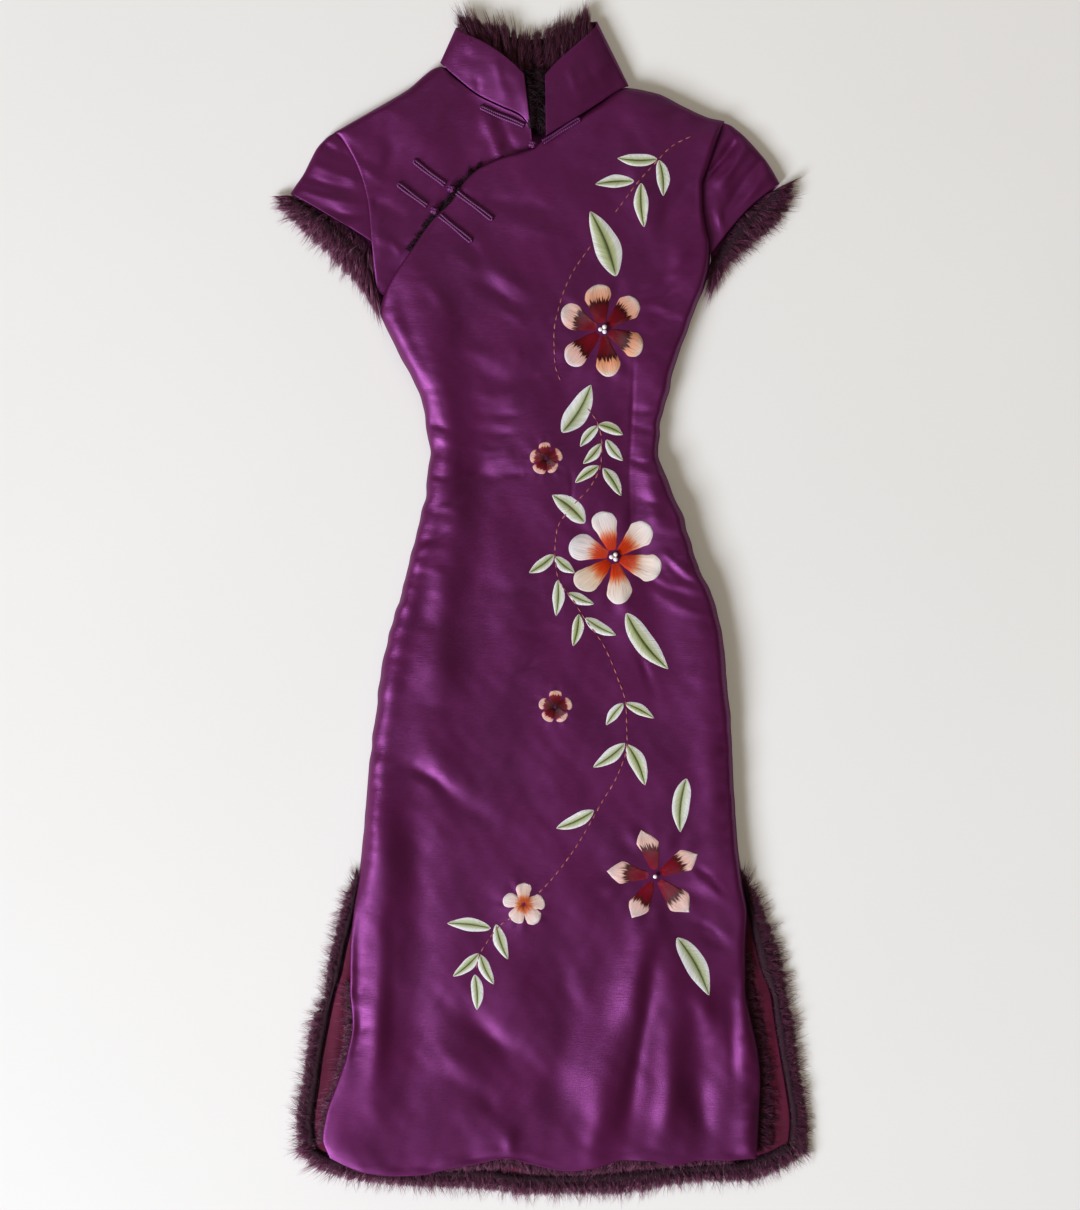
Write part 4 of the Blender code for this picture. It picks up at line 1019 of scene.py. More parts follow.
class Shading:
    """A cloth-like material in the making. Sizes are in millimetres."""

    def __init__(self, name: str, roughness: float, sheen: float, tint: str):
        """Starts the material.

        Args:
            name: what it is made of.
            roughness: its roughness.
            sheen: how strong its sheen is.
            tint: the sheen's colour.
        """
        self.material = bpy.data.materials.new(name)
        self.material.use_nodes = True
        self.tree = self.material.node_tree
        self.place = add_node(self.tree, "ShaderNodeTexCoord").outputs["Object"]
        self.set({"Roughness": roughness, "Sheen Weight": sheen, "Sheen Roughness": SHEEN_ROUGHNESS,
                  "Sheen Tint": srgb(tint)})

    def set(self, inputs: dict) -> None:
        """Sets or links inputs of the material's shader.

        Args:
            inputs: values or outputs, by the input's name.
        """
        set_inputs(self.tree, self.tree.nodes["Principled BSDF"], inputs)

    def ramp(self, value: Output, stops: tuple) -> Output:
        """Adds a colour ramp.

        Args:
            value: what is looked up.
            stops: places and hex colours, in order.

        Returns:
            The colour.
        """
        node = add_node(self.tree, "ShaderNodeValToRGB", {"Fac": value})
        elements = node.color_ramp.elements
        while len(elements) < len(stops):
            elements.new(0.5)
        for element, (place, code) in zip(elements, stops):
            element.position = place
            element.color = srgb(code)
        return node.outputs["Color"]

    def noise(self, place: Output, size: float, detail: float = 2.0,
              stretch: tuple[float, float, float] = (1.0, 1.0, 1.0)) -> Output:
        """Adds a noise of a real size.

        Args:
            place: the coordinates.
            size: the size of its blots.
            detail: how many finer layers it has.
            stretch: how much finer it is along each axis.

        Returns:
            The noise.
        """
        vector = add_node(self.tree, "ShaderNodeMapping", {"Vector": place, "Scale": stretch}).outputs[0]
        inputs = {"Vector": vector, "Scale": 1.0 / (size * MM), "Detail": detail}
        return add_node(self.tree, "ShaderNodeTexNoise", inputs).outputs["Fac"]

    def mixed(self, share: Output, first: str | Output, second: str | Output) -> Output:
        """Mixes two colours, each a hex code or an output.

        Args:
            share: how much of the second shows.
            first: the first colour.
            second: the second colour.

        Returns:
            The mixed colour.
        """
        inputs = {"Factor": share}
        for place, colour in ((6, first), (7, second)):
            inputs[place] = srgb(colour) if isinstance(colour, str) else colour
        return add_node(self.tree, "ShaderNodeMix", inputs, data_type="RGBA").outputs[2]

    def bumps(self, height: Output, distance: float, strength: float = 1.0) -> None:
        """Raises the surface.

        Args:
            height: how high each place is.
            distance: how high 1 is.
            strength: how strongly it shows.
        """
        inputs = {"Height": height, "Distance": distance * MM, "Strength": strength}
        self.set({"Normal": add_node(self.tree, "ShaderNodeBump", inputs).outputs[0]})

    def maths(self, operation: str, first: Output, second: float | Output = 0.0,
              third: float | Output = 0.0) -> Output:
        """Adds one step of arithmetic.

        Args:
            operation: Blender's name for it.
            first: the first value.
            second: the second value.
            third: the third value.

        Returns:
            The result.
        """
        inputs = {0: first, 1: second, 2: third}
        return add_node(self.tree, "ShaderNodeMath", inputs, operation=operation).outputs[0]

    def stored(self, name: str) -> Output:
        """Reads a number that is stored at a mesh's points.

        Args:
            name: the number's name.

        Returns:
            The number.
        """
        return add_node(self.tree, "ShaderNodeAttribute", attribute_name=name).outputs["Fac"]

    def between(self, value: Output, low: float, high: float, most: float = 1.0) -> Output:
        """Stretches the range from low to high out to the range from 0 to the most.

        Args:
            value: what is stretched.
            low: what becomes 0.
            high: what becomes the most.
            most: the largest result.

        Returns:
            The result.
        """
        inputs = {0: value, 1: low, 2: high, 3: 0.0, 4: most}
        return add_node(self.tree, "ShaderNodeMapRange", inputs).outputs[0]

    def ribs(self, place: Output, period: float, axis: str, uneven: float, fine: float = 1.0) -> Output:
        """Adds fine ribs that follow each other along an axis.

        Args:
            place: the coordinates.
            period: the distance between ribs.
            axis: the axis.
            uneven: how uneven they are.
            fine: how fine their unevenness is.

        Returns:
            The ribs' height.
        """
        inputs = {"Vector": place, "Scale": wave_scale(period), "Distortion": uneven, "Detail Scale": fine}
        return add_node(self.tree, "ShaderNodeTexWave", inputs, bands_direction=axis).outputs["Fac"]


@dataclass(frozen=True)
class WovenFinish:
    """A woven cloth. Colours are sRGB hex codes, from the deepest to the palest."""

    name: str
    deep: str
    middle: str
    pale: str
    roughness: float
    sheen: float
    tint: str
    thread: float
    gloss: float = 0.9
    refraction: float = 1.5
    slub_share: float = 0.55
    grain_share: float = 0.22
    weft_height: float = 0.35
    slub_height: float = 2.5
    bump: float = 0.09
    bump_strength: float = 0.55

    def material(self) -> bpy.types.Material:
        """Builds the cloth: dyed unevenly, with fine ribs across and slubs in its thicker threads.

        Returns:
            The material.
        """
        look = Shading(self.name, self.roughness, self.sheen, self.tint)
        blots = look.noise(look.place, 70.0, 3.0)
        shade = look.mixed(look.between(blots, 0.35, 0.65), self.deep, self.middle)
        slubs = look.noise(look.place, 9.0, 3.0, (1.0, 14.0, 1.0))
        shade = look.mixed(look.maths("MULTIPLY", slubs, self.slub_share), shade, self.pale)
        grain = look.noise(look.place, 2.2, 2.0)
        shade = look.mixed(look.maths("MULTIPLY", grain, self.grain_share), shade, self.deep)
        look.set({"Base Color": shade, "Specular IOR Level": self.gloss, "IOR": self.refraction,
                  "Specular Tint": srgb(self.tint)})
        warp, weft = (look.ribs(look.place, self.thread, axis, 1.2, 2.0) for axis in ("X", "Y"))
        weave = look.maths("MULTIPLY_ADD", warp, self.weft_height, weft)
        height = look.maths("MULTIPLY_ADD", slubs, self.slub_height, weave)
        look.bumps(height, self.bump, self.bump_strength)
        return look.material


@dataclass(frozen=True)
class FurFinish:
    """Fur, dark at the skin and paler at the hairs' tips. Colours are sRGB hex codes."""

    name: str
    root: str
    middle: str
    tip: str
    least: float = 0.35
    spread: float = 0.75
    middle_place: float = 0.38

    def material(self) -> bpy.types.Material:
        """Builds the hairs, each of its own shade.

        Returns:
            The material.
        """
        look = Shading(self.name, 0.55, 0.25, self.tip)
        paleness = look.maths("MULTIPLY_ADD", look.stored("shade"), self.spread, self.least)
        tone = look.maths("MULTIPLY", look.stored("along"), paleness)
        stops = ((0.0, self.root), (self.middle_place, self.middle), (1.0, self.tip))
        look.set({"Base Color": look.ramp(tone, stops)})
        return look.material


@dataclass(frozen=True)
class MottledFinish:
    """A stuff of two shades, its grain in millimetres. Colours are sRGB hex codes."""

    name: str
    deep: str
    pale: str
    roughness: float
    sheen: float
    grain: float
    detail: float = 2.0
    bump: float = 0.0
    bump_strength: float = 1.0
    coat: float = 0.0
    coat_roughness: float = 0.08

    def material(self) -> bpy.types.Material:
        """Builds the stuff: mottled, and raised or lacquered where its sizes say so.

        Returns:
            The material.
        """
        look = Shading(self.name, self.roughness, self.sheen, self.pale)
        grain = look.noise(look.place, self.grain, self.detail)
        look.set({"Base Color": look.mixed(grain, self.deep, self.pale)})
        if self.bump:
            look.bumps(grain, self.bump, self.bump_strength)
        if self.coat:
            look.set({"Coat Weight": self.coat, "Coat Roughness": self.coat_roughness})
        return look.material


@dataclass(frozen=True)
class ThreadFinish:
    """Silk embroidery in long and short stitches. Stops are places from heart to tip with hex codes."""

    name: str
    stops: tuple[tuple[float, str], ...]
    second_stops: tuple[tuple[float, str], ...]
    jag: float = 0.2
    thread: float = 0.55
    # Colour of the painted shade in the grooves between threads, and how much of it shows.
    gap_shade: str = "#2a1410"
    gap_shade_share: float = 0.28
    bump: float = 0.16
    bump_strength: float = 0.8

    def material(self) -> bpy.types.Material:
        """Builds the stitches: threads side by side, their colours meeting in a ragged line, with painted
        shade in dark streaks between the threads.

        Returns:
            The material.
        """
        look = Shading(self.name, 0.42, 0.08, "#ffffff")
        stitch = add_node(look.tree, "ShaderNodeUVMap", uv_map="cloth").outputs[0]
        ragged = look.noise(stitch, self.thread * 2.2, 1.0, (1.0, 0.08, 1.0))
        centred = look.maths("SUBTRACT", ragged, 0.5)
        place = look.maths("MULTIPLY_ADD", centred, self.jag * 2.0, look.stored("along"))
        ramps = [look.ramp(place, stops) for stops in (self.stops, self.second_stops)]
        colour = look.mixed(look.stored("shade"), *ramps)
        # Painted shade: streaks along the threads are darkened towards a dark brown, as the grooves between
        # them would be shaded.
        streak = look.noise(stitch, self.thread, 1.0, (1.0, 0.03, 1.0))
        gap_shade_mask = look.between(streak, 0.3, 0.7, self.gap_shade_share)
        colour = look.mixed(gap_shade_mask, colour, self.gap_shade)
        look.set({"Base Color": colour, "Specular IOR Level": 0.3})
        threads = look.ribs(stitch, self.thread, "X", 0.8)
        look.bumps(threads, self.bump, self.bump_strength)
        return look.material


SATIN = WovenFinish(
    "silk_satin_plum_dyed", "#32021a", "#46062e", "#5a1442", 0.455, 0.05, "#de82d4", 0.7, 1.0, 1.9)
LINING = WovenFinish(
    "viscose_lining_burgundy", "#3e0c1e", "#5a182e", "#7e3850", 0.58, 0.12, "#e08aa4", 0.4)
FUR = FurFinish("dyed_rabbit_fur_hair", "#260a16", "#743450", "#d8a4bc")
# A darker copy of the fur hair: painted shade for the hairs under the front's overlap and in the collar's V.
FUR_PAINTED_SHADE = FurFinish("dyed_rabbit_fur_hair_painted_shade", "#120307", "#2c0f1a", "#5a2c3c")
FUR_SKIN = MottledFinish("dyed_rabbit_fur_underwool", "#1a0810", "#44202e", 0.9, 0.3, 2.0, 4.0, 1.2)
CORD = MottledFinish("satin_rouleau_cord_plum", "#4c1440", "#803a74", 0.42, 0.4, 1.2, 2.0, 0.15, 0.5)
PEARL = MottledFinish("glass_pearl_milky", "#f2e6e4", "#fffaf6", 0.22, 0.2, 1.5, coat=0.6)
THREADS = {
    "maroon_peach_thread": ThreadFinish(
        "silk_thread_maroon_to_peach",
        ((0.0, "#8c0c24"), (0.42, "#6c0a18"), (0.57, "#2c0406"), (0.64, "#f09c68"),
         (0.88, "#f8c096"), (1.0, "#fdeee4")),
        ((0.0, "#981430"), (0.44, "#760c1e"), (0.58, "#340608"), (0.64, "#f6c4b4"),
         (0.88, "#fcdfd6"), (1.0, "#fef6f2"))),
    "orange_cream_thread": ThreadFinish(
        "silk_thread_orange_to_cream",
        ((0.0, "#d03408"), (0.3, "#e44a14"), (0.4, "#f08a50"), (0.54, "#fad6b0"), (1.0, "#fdeed8")),
        ((0.0, "#d83a0c"), (0.32, "#e85220"), (0.42, "#f6a884"), (0.54, "#fdeae2"), (1.0, "#fffaf8"))),
    "garnet_pink_thread": ThreadFinish(
        "silk_thread_garnet_to_pink",
        ((0.0, "#981030"), (0.42, "#7c0a22"), (0.57, "#42160a"), (0.65, "#f6bea4"), (1.0, "#fce0d2")),
        ((0.0, "#a01436"), (0.42, "#840e28"), (0.55, "#4a1a0c"), (0.64, "#facfc2"), (1.0, "#fdeae4"))),
    "peach_orange_thread": ThreadFinish(
        "silk_thread_orange_heart_peach",
        ((0.0, "#b8431c"), (0.26, "#e0763c"), (0.44, "#f6cdb6"), (1.0, "#fae6dc")),
        ((0.0, "#c04e20"), (0.24, "#e88a50"), (0.4, "#f8d9ca"), (1.0, "#fcf0ea"))),
    "garnet_rim_thread": ThreadFinish(
        "silk_thread_garnet_heart_pink_rim",
        ((0.0, "#3c0c10"), (0.4, "#7a1422"), (0.66, "#8c2030"), (0.74, "#f0b49c"), (1.0, "#f6cdbd")),
        ((0.0, "#2e0a0e"), (0.44, "#6c101c"), (0.64, "#842030"), (0.72, "#f2bba8"), (1.0, "#f8d6ca"))),
    "leaf_thread": ThreadFinish(
        "silk_thread_pale_green",
        ((0.0, "#38401e"), (0.12, "#848c50"), (0.24, "#b2ba7c"), (0.58, "#d2d8a4"),
         (0.74, "#f8f6e4"), (1.0, "#fdfbf2")),
        ((0.0, "#4e5830"), (0.12, "#9ea672"), (0.26, "#ced4a8"), (0.56, "#e8ebd0"),
         (0.74, "#fcfaf2"), (1.0, "#fefdfa")),
        0.05),
    "vine_thread": ThreadFinish(
        "silk_thread_rose_vine",
        ((0.0, "#b0605c"), (1.0, "#d09084")), ((0.0, "#98484a"), (1.0, "#bc746c")), 0.02),
}


@dataclass(frozen=True)
class Group:
    """What a sub-assembly made."""

    name: str
    pieces: tuple[bpy.types.Object, ...]


def sew(name: str, points: np.ndarray, node: str, finish: WovenFinish, slot: str = "plum_satin",
        shell: float = SHELL, flip: bool = False) -> bpy.types.Object:
    """Makes a finished piece of cloth in place of one solid.

    Args:
        name: the piece's name.
        points: its grid of outer points.
        node: the solid that it stands for.
        finish: its cloth.
        slot: the record's material slot.
        shell: its thickness in millimetres, or 0 for none.
        flip: whether its faces look the other way.

    Returns:
        The piece.
    """
    obj = sheet_mesh(name, points, flip)
    if shell:
        thicken(obj, shell)
    obj.data.materials.append(finish.material())
    return settle(obj, slot, node)


@dataclass
class SatinBody:
    """The front, under and back panels and the back's lining."""

    front_rounding: tuple = (17.0, 6.0, 20.0, 20.0)
    under_rounding: tuple = (2.2, 10.0, 10.0, 12.0)
    back_rounding: tuple = (9.0, 9.0, 9.0, 9.0)
    lining_rounding: tuple = (5.0, 5.0, 5.0, 5.0)
    edge_calm: float = 7.0
    pucker_reach: float = 13.0
    pucker_length: float = 12.0
    pucker_height: float = 0.42
    wave_height: float = 0.7
    crumple_height: float = 0.16
    edge_wander: float = 1.1
    wrinkle_height: float = 0.45
    wave_length: float = 95.0
    crumple_length: float = 26.0
    pucker_stretch: float = 0.35
    pucker_patch: float = 130.0
    pucker_most: float = 1.6
    wrinkle_length: float = 17.0
    wrinkle_stretch: float = 0.3
    wrinkle_line: tuple[float, float] = (10.0, 30.0)
    wrinkle_level: tuple[float, float] = (100.0, 190.0)
    wander_length: float = 24.0
    wander_stretch: float = 0.2
    wander_level: tuple[float, float] = (60.0, 320.0)
    wander_width: float = 12.0
    stitched_share: float = 0.92
    ring_width: tuple[float, float] = (9.0, 3.0)
    ring_height: float = 0.25
    ray_height: float = 0.42
    back_calm: float = 20.0
    back_most: float = 0.9
    lining_wave: tuple[float, float] = (0.35, 16.0)
    lining_most: float = 1.6

    def front_rows(self) -> list:
        """Lists the front's rows of edge points.

        Returns:
            Rows for its panel.
        """
        rows = []
        for y, right, left, loft in FRONT_SLIT_ROWS:
            rows.append((right, y, SLIT_HEIGHT, left, y, SLIT_HEIGHT, loft))
        for y, right, left, loft in SIDE_ROWS:
            edge = SLIT_TOP_HEIGHT if y == SIDE_ROWS[0][0] else SEAM_HEIGHT
            rows.append((right, y, edge, left, y, edge, loft))
        return rows + list(FRONT_BODICE_ROWS)

    def back_rows(self) -> list:
        """Lists the back's rows of edge points.

        Returns:
            Rows for its panel.
        """
        rows = []
        for right, right_y, left, left_y in BACK_SLIT_ROWS:
            rows.append((right, right_y, 0.0, left, left_y, 0.0, 0.0))
        for y, right, left, _loft in SIDE_ROWS:
            lift = SLIT_TOP_LIFT if y == SIDE_ROWS[0][0] else SIDE_LIFT
            rows.append((right + SEAM_GAP, y, lift, left - SEAM_GAP, y, lift, 0.0))
        for right, right_y, left, left_y in BACK_ARMHOLE_ROWS:
            lift = SIDE_LIFT if right_y == BACK_ARMHOLE_ROWS[0][1] else 0.0
            rows.append((right + SEAM_GAP, right_y, lift, left - SEAM_GAP, left_y, lift, 0.0))
        return rows

    def lining_panel(self) -> Panel:
        """Lays out the lining over the back's skirt, just inside its free edges.

        Returns:
            The panel.
        """
        rows = []
        for right, right_y, left, left_y in BACK_SLIT_ROWS:
            rows.append((right + LINING_INSET, right_y, LINING_BASE,
                         left - LINING_INSET, left_y, LINING_BASE, LINING_BASE))
        y, right, left, _loft = SIDE_ROWS[0]
        rows.append((right + 4 * LINING_INSET, y + LINING_INSET, LINING_BASE,
                     left - 4 * LINING_INSET, y + LINING_INSET, LINING_BASE, LINING_BASE))
        hem = [(x * LINING_HEM_SHARE, y + LINING_INSET, LINING_BASE) for x, y, _z in BACK_HEM]
        hem[0] = rows[0][0:3]
        hem[-1] = rows[0][3:6]
        return Panel(rows, hem, (rows[-1][0:3], rows[-1][3:6]), self.lining_rounding)

    def live_surface(self, spread: Spread, creases: tuple[Crease, ...], seed: int) -> np.ndarray:
        """Adds folds, waves and seam puckers to a laid-out panel.

        Args:
            spread: the panel's points and distances.
            creases: its troughs and ridges.
            seed: which irregular pattern.

        Returns:
            The points of its outer surface.
        """
        points = spread.points.copy()
        x, y = points[:, :, 0], points[:, :, 1]
        side = np.minimum(spread.right, spread.left)
        nearest = spread.nearest()
        height = relief(creases, x, y)
        waves = self.wave_height * ripple(x, y, self.wave_length, seed)
        crumples = self.crumple_height * ripple(x, y, self.crumple_length, seed + 1)
        height += waves + crumples
        pull = np.exp(-((nearest / self.pucker_reach) ** 2))
        pull = pull * ripple(x * self.pucker_stretch, y, self.pucker_length, seed + 2)
        patches = np.clip(ripple(x, y, self.pucker_patch, seed + 3) + 0.9, 0.0, self.pucker_most)
        height += self.pucker_height * pull * patches
        (line, width), (level, reach) = self.wrinkle_line, self.wrinkle_level
        waist = np.exp(-(((side - line) / width) ** 2)) * np.exp(-(((y - level) / reach) ** 2))
        wrinkles = ripple(self.wrinkle_stretch * x, y, self.wrinkle_length, seed + 4)
        height += self.wrinkle_height * waist * wrinkles
        points[:, :, 2] += np.clip(nearest / self.edge_calm, 0.0, 1.0) * height
        level, reach = self.wander_level
        wander = self.edge_wander * np.clip(1.0 - np.abs(y - level) / reach, 0.0, 1.0)
        wander = wander * ripple(self.wander_stretch * x, y, self.wander_length, seed + 5)
        sides = np.exp(-spread.left / self.wander_width) - np.exp(-spread.right / self.wander_width)
        points[:, :, 0] += wander * sides
        return points

    def gather_at_flowers(self, points: np.ndarray) -> None:
        """Draws the cloth in round each embroidered flower, as its dense stitches do.

        Args:
            points: the front's points, which are changed.
        """
        x, y = points[:, :, 0], points[:, :, 1]
        for number, flower in enumerate(FLOWERS):
            away = np.hypot(x - flower.centre[0], y - flower.centre[1])
            turn = np.arctan2(y - flower.centre[1], x - flower.centre[0])
            past = away - self.stitched_share * flower.reach
            strength = min(1.0, flower.reach / LARGE_FLOWER)
            ring = np.exp(-((past / (self.ring_width[0] * strength + self.ring_width[1])) ** 2))
            rays = np.sin(9.0 * turn + number) + 0.7 * np.sin(14.0 * turn + 2.0 * number)
            points[:, :, 2] += strength * ring * (self.ray_height * rays + self.ring_height)

    def front(self) -> bpy.types.Object:
        """Makes the front panel.

        Returns:
            The piece.
        """
        panel = Panel(self.front_rows(), FRONT_HEM, FRONT_TOP, self.front_rounding)
        across = stations(BODY_WIDTH, FINE_STEP, EDGE_STATIONS, EDGE_STATIONS) / BODY_WIDTH
        along = stations(panel.length, FINE_STEP, EDGE_STATIONS, EDGE_STATIONS)
        points = self.live_surface(panel.lay(along, across), FRONT_CREASES, 11)
        self.gather_at_flowers(points)
        obj = sew("front_satin", turn_edges(points, SHELL, HEM_ROWS), "front_panel", SATIN, shell=0.0)
        return obj

    def under(self) -> bpy.types.Object:
        """Makes the right shoulder with its flap under the front.

        Returns:
            The piece.
        """
        panel = Panel(UNDER_ROWS, UNDER_HEM, UNDER_TOP, self.under_rounding, UNDER_LINE_SPREAD)
        across = stations(UNDER_WIDTH, FINE_STEP, EDGE_STATIONS, EDGE_STATIONS[:5]) / UNDER_WIDTH
        along = stations(panel.length, FINE_STEP, EDGE_STATIONS[:5], EDGE_STATIONS)
        points = self.live_surface(panel.lay(along, across), UNDER_CREASES, 23)
        obj = sew("under_satin", points, "under_panel", SATIN)
        return obj

    def back(self) -> bpy.types.Object:
        """Makes the back panel, flat on the surface but for the creases pressed into it.

        Returns:
            The piece.
        """
        panel = Panel(self.back_rows(), BACK_HEM, BACK_TOP, self.back_rounding)
        ends = EDGE_STATIONS[::3]
        across = stations(BODY_WIDTH, MEDIUM_STEP, ends, ends) / BODY_WIDTH
        spread = panel.lay(stations(panel.length, MEDIUM_STEP, ends, ends), across)
        points = spread.points
        rise = np.clip(relief(BACK_CREASES, points[:, :, 0], points[:, :, 1]), 0.0, self.back_most)
        points[:, :, 2] += np.clip(spread.nearest() / self.back_calm, 0.0, 1.0) * rise
        obj = sew("back_satin", points, "back_panel", SATIN, flip=True)
        return obj

    def lining(self) -> bpy.types.Object:
        """Makes the lining that shows in the slits and under the hem.

        Returns:
            The piece.
        """
        panel = self.lining_panel()
        ends = (0.0, 2.0)
        across = stations(2 * BODY_WIDTH, MEDIUM_STEP, ends, ends) / (2 * BODY_WIDTH)
        spread = panel.lay(stations(panel.length, MEDIUM_STEP, ends, ends), across)
        points = spread.points
        x, y = points[:, :, 0], points[:, :, 1]
        wave, length = self.lining_wave
        rise = relief(LINING_CREASES, x, y) + wave * ripple(x, 0.4 * y, length, 41)
        rise = np.clip(rise + wave, 0.0, self.lining_most)
        points[:, :, 2] += LINING_SHELL + np.clip(spread.nearest() / 5.0, 0.0, 1.0) * rise
        obj = sew("skirt_lining", points, "back_lining", LINING, "dusty_lining", LINING_SHELL)
        return obj

    def build(self) -> Group:
        """Makes the four pieces.

        Returns:
            The group, front first.
        """
        return Group("body", (self.front(), self.under(), self.back(), self.lining()))


@dataclass
class CapSleeves:
    """The two cap sleeves, each a front layer, a fold at the cuff and a back layer."""

    stations_along: int = 44
    cuff_rounding: float = 12.0
    back_rounding: float = 9.0
    tuck: float = 6.0
    tuck_drop: float = 1.1
    tuck_from: int = 6
    puff: float = 0.9
    puff_reach: float = 16.0
    row_step: float = 4.0
    crease_calm: float = 6.0
    even_share: float = 0.86
    even_steps: int = 26
    fold_steps: int = 9

    def points(self, table: tuple, bow: float) -> np.ndarray:
        """Works out a sleeve's outer points.

        Args:
            table: the sleeve's rows.
            bow: how far its cuff bows out, in millimetres.

        Returns:
            Rows of points from the shoulder to the cuff's end.
        """
        rows = np.array(table, float)
        at = np.linspace(0.0, len(rows) - 1.0, self.stations_along)
        rows = smooth_through(np.arange(len(rows)), rows, at)
        even = np.linspace(0.0, self.even_share, self.even_steps)
        shares = np.concatenate((even, 1.0 - np.geomspace(0.12, 0.004, self.fold_steps), (1.0,)))
        grid = []
        for index, (ax, ay, fx, fy, bx, by, height) in enumerate(rows):
            ripe = (index / (len(rows) - 1.0)) ** 3
            fold_z = 0.5 * height
            line = []
            for (sx, sy), turn, layer in (((ax, ay), shares, 1), ((bx, by), shares[-2::-1], -1)):
                flat = np.outer(1.0 - turn, (sx, sy)) + np.outer(turn, (fx, fy))
                flat[:, 1] += bow * ripe * np.sin(math.pi * turn)
                away = (1.0 - turn) * math.hypot(fx - sx, fy - sy)
                if layer > 0:
                    z = fold_z + (height - fold_z) * rounded(away, self.cuff_rounding)
                    calm = np.clip(away / self.crease_calm, 0.0, 1.0)
                    z += relief(SLEEVE_CREASES, flat[:, 0], flat[:, 1]) * calm
                    from_shoulder = np.full_like(turn, index * self.row_step)
                    z += self.puff * np.sin(math.pi * turn) * rounded(from_shoulder, self.puff_reach)
                else:
                    z = fold_z * (1.0 - rounded(away, self.back_rounding))
                line.append(np.column_stack((flat, z)))
            line = np.concatenate(line)
            inward = line[0] - line[self.tuck_from]
            inward[2] = 0.0
            inward /= max(np.hypot(inward[0], inward[1]), TINY)
            hidden = line[0] + inward * self.tuck - np.array((0.0, 0.0, self.tuck_drop))
            grid.append(np.vstack((hidden, line)))
        return np.array(grid)

    def build(self) -> Group:
        """Makes both sleeves.

        Returns:
            The group, the right sleeve first.
        """
        made = []
        for side, table, bow, flip in (("right", RIGHT_SLEEVE, RIGHT_CUFF_BOW, False),
                                       ("left", LEFT_SLEEVE, LEFT_CUFF_BOW, True)):
            points = self.points(table, bow)
            obj = sew(f"sleeve_satin_{side}", points, f"sleeve_{side}", SATIN, flip=flip)
            made.append(obj)
        return Group("sleeves", tuple(made))


@dataclass
class StandCollar:
    """The collar band, pressed flat so that its two wings lie over its back."""

    steps_round: int = 8
    steps_up: int = 22
    crown: float = 1.1
    seam_drop: float = 2.6
    seam_share: float = 0.004
    front_from: tuple[float, float] = (10.0, 4.0)
    wave: tuple[float, float] = (0.25, 30.0)

    def build(self) -> Group:
        """Makes the collar.

        Returns:
            The group.
        """
        band = np.array(COLLAR_BAND, float)
        at = np.linspace(0.0, len(band) - 1.0, self.steps_round * (len(band) - 1) + 1)
        band = smooth_through(np.arange(len(band)), band, at)
        share = np.concatenate(((-self.seam_share,), np.linspace(0.0, 1.0, self.steps_up)))[:, None, None]
        points = band[None, :, :3] * (1.0 - share) + band[None, :, 3:] * share
        front = np.clip((points[:, :, 2] - self.front_from[0]) / self.front_from[1], 0.0, 1.0)
        rise = self.crown * np.sin(math.pi * share[:, :, 0])
        rise = rise + relief(COLLAR_CREASES, points[:, :, 0], points[:, :, 1])
        rise = rise + self.wave[0] * ripple(points[:, :, 0], points[:, :, 1], self.wave[1], 5)
        points[:, :, 2] += front * np.where(share[:, :, 0] < 0.0, -self.seam_drop, rise)
        obj = sew("collar_satin", points, "collar", SATIN, flip=True)
        return Group("collar", (obj,))


@dataclass(frozen=True)
class Strip:
    """A strip of fur. Its heights are inner low, inner high, outer low and outer high, in millimetres."""

    name: str
    node: str
    rows: tuple
    heights: tuple[float, float, float, float]
    hairs: int
    length: float
    lift: float
    over: tuple[float, float] = (7.0, 7.0)
    fan: float = 0.0

    def levels(self, share: np.ndarray) -> tuple[np.ndarray, np.ndarray]:
        """Gives the strip's lower and upper level.

        Args:
            share: shares of the way out from its inner edge.

        Returns:
            Both levels at each share, in millimetres.
        """
        inner_low, inner_high, outer_low, outer_high = self.heights
        return (inner_low + (outer_low - inner_low) * share,
                inner_high + (outer_high - inner_high) * share)


# Fur that comes out between the collar's two wings. Columns as in the other fur tables.
RIGHT_WING_FUR = ((-22, 532, -11, 534), (-17, 503, -7, 505), (-13, 476, -6, 480))
LEFT_WING_FUR = ((12, 532, -3, 534), (9, 503, -3, 506), (7, 478, -3, 482))

# Inner low, inner high, outer low and outer high of the strips that are alike.
CUFF_HEIGHTS = (2.4, 9.0, 2.4, 9.4)
BACK_HEIGHTS = (0.0, 8.5, 0.0, 7.5)
FRONT_HEIGHTS = (4.1, 8.2, 4.1, 8.6)
WING_HEIGHTS = (10.0, 18.0, 9.0, 16.0)

# How far hairs grow past both ends of a strip.
SHORT_ENDS = (1.0, 1.0)
FRONT_ENDS = (3.0, 3.0)

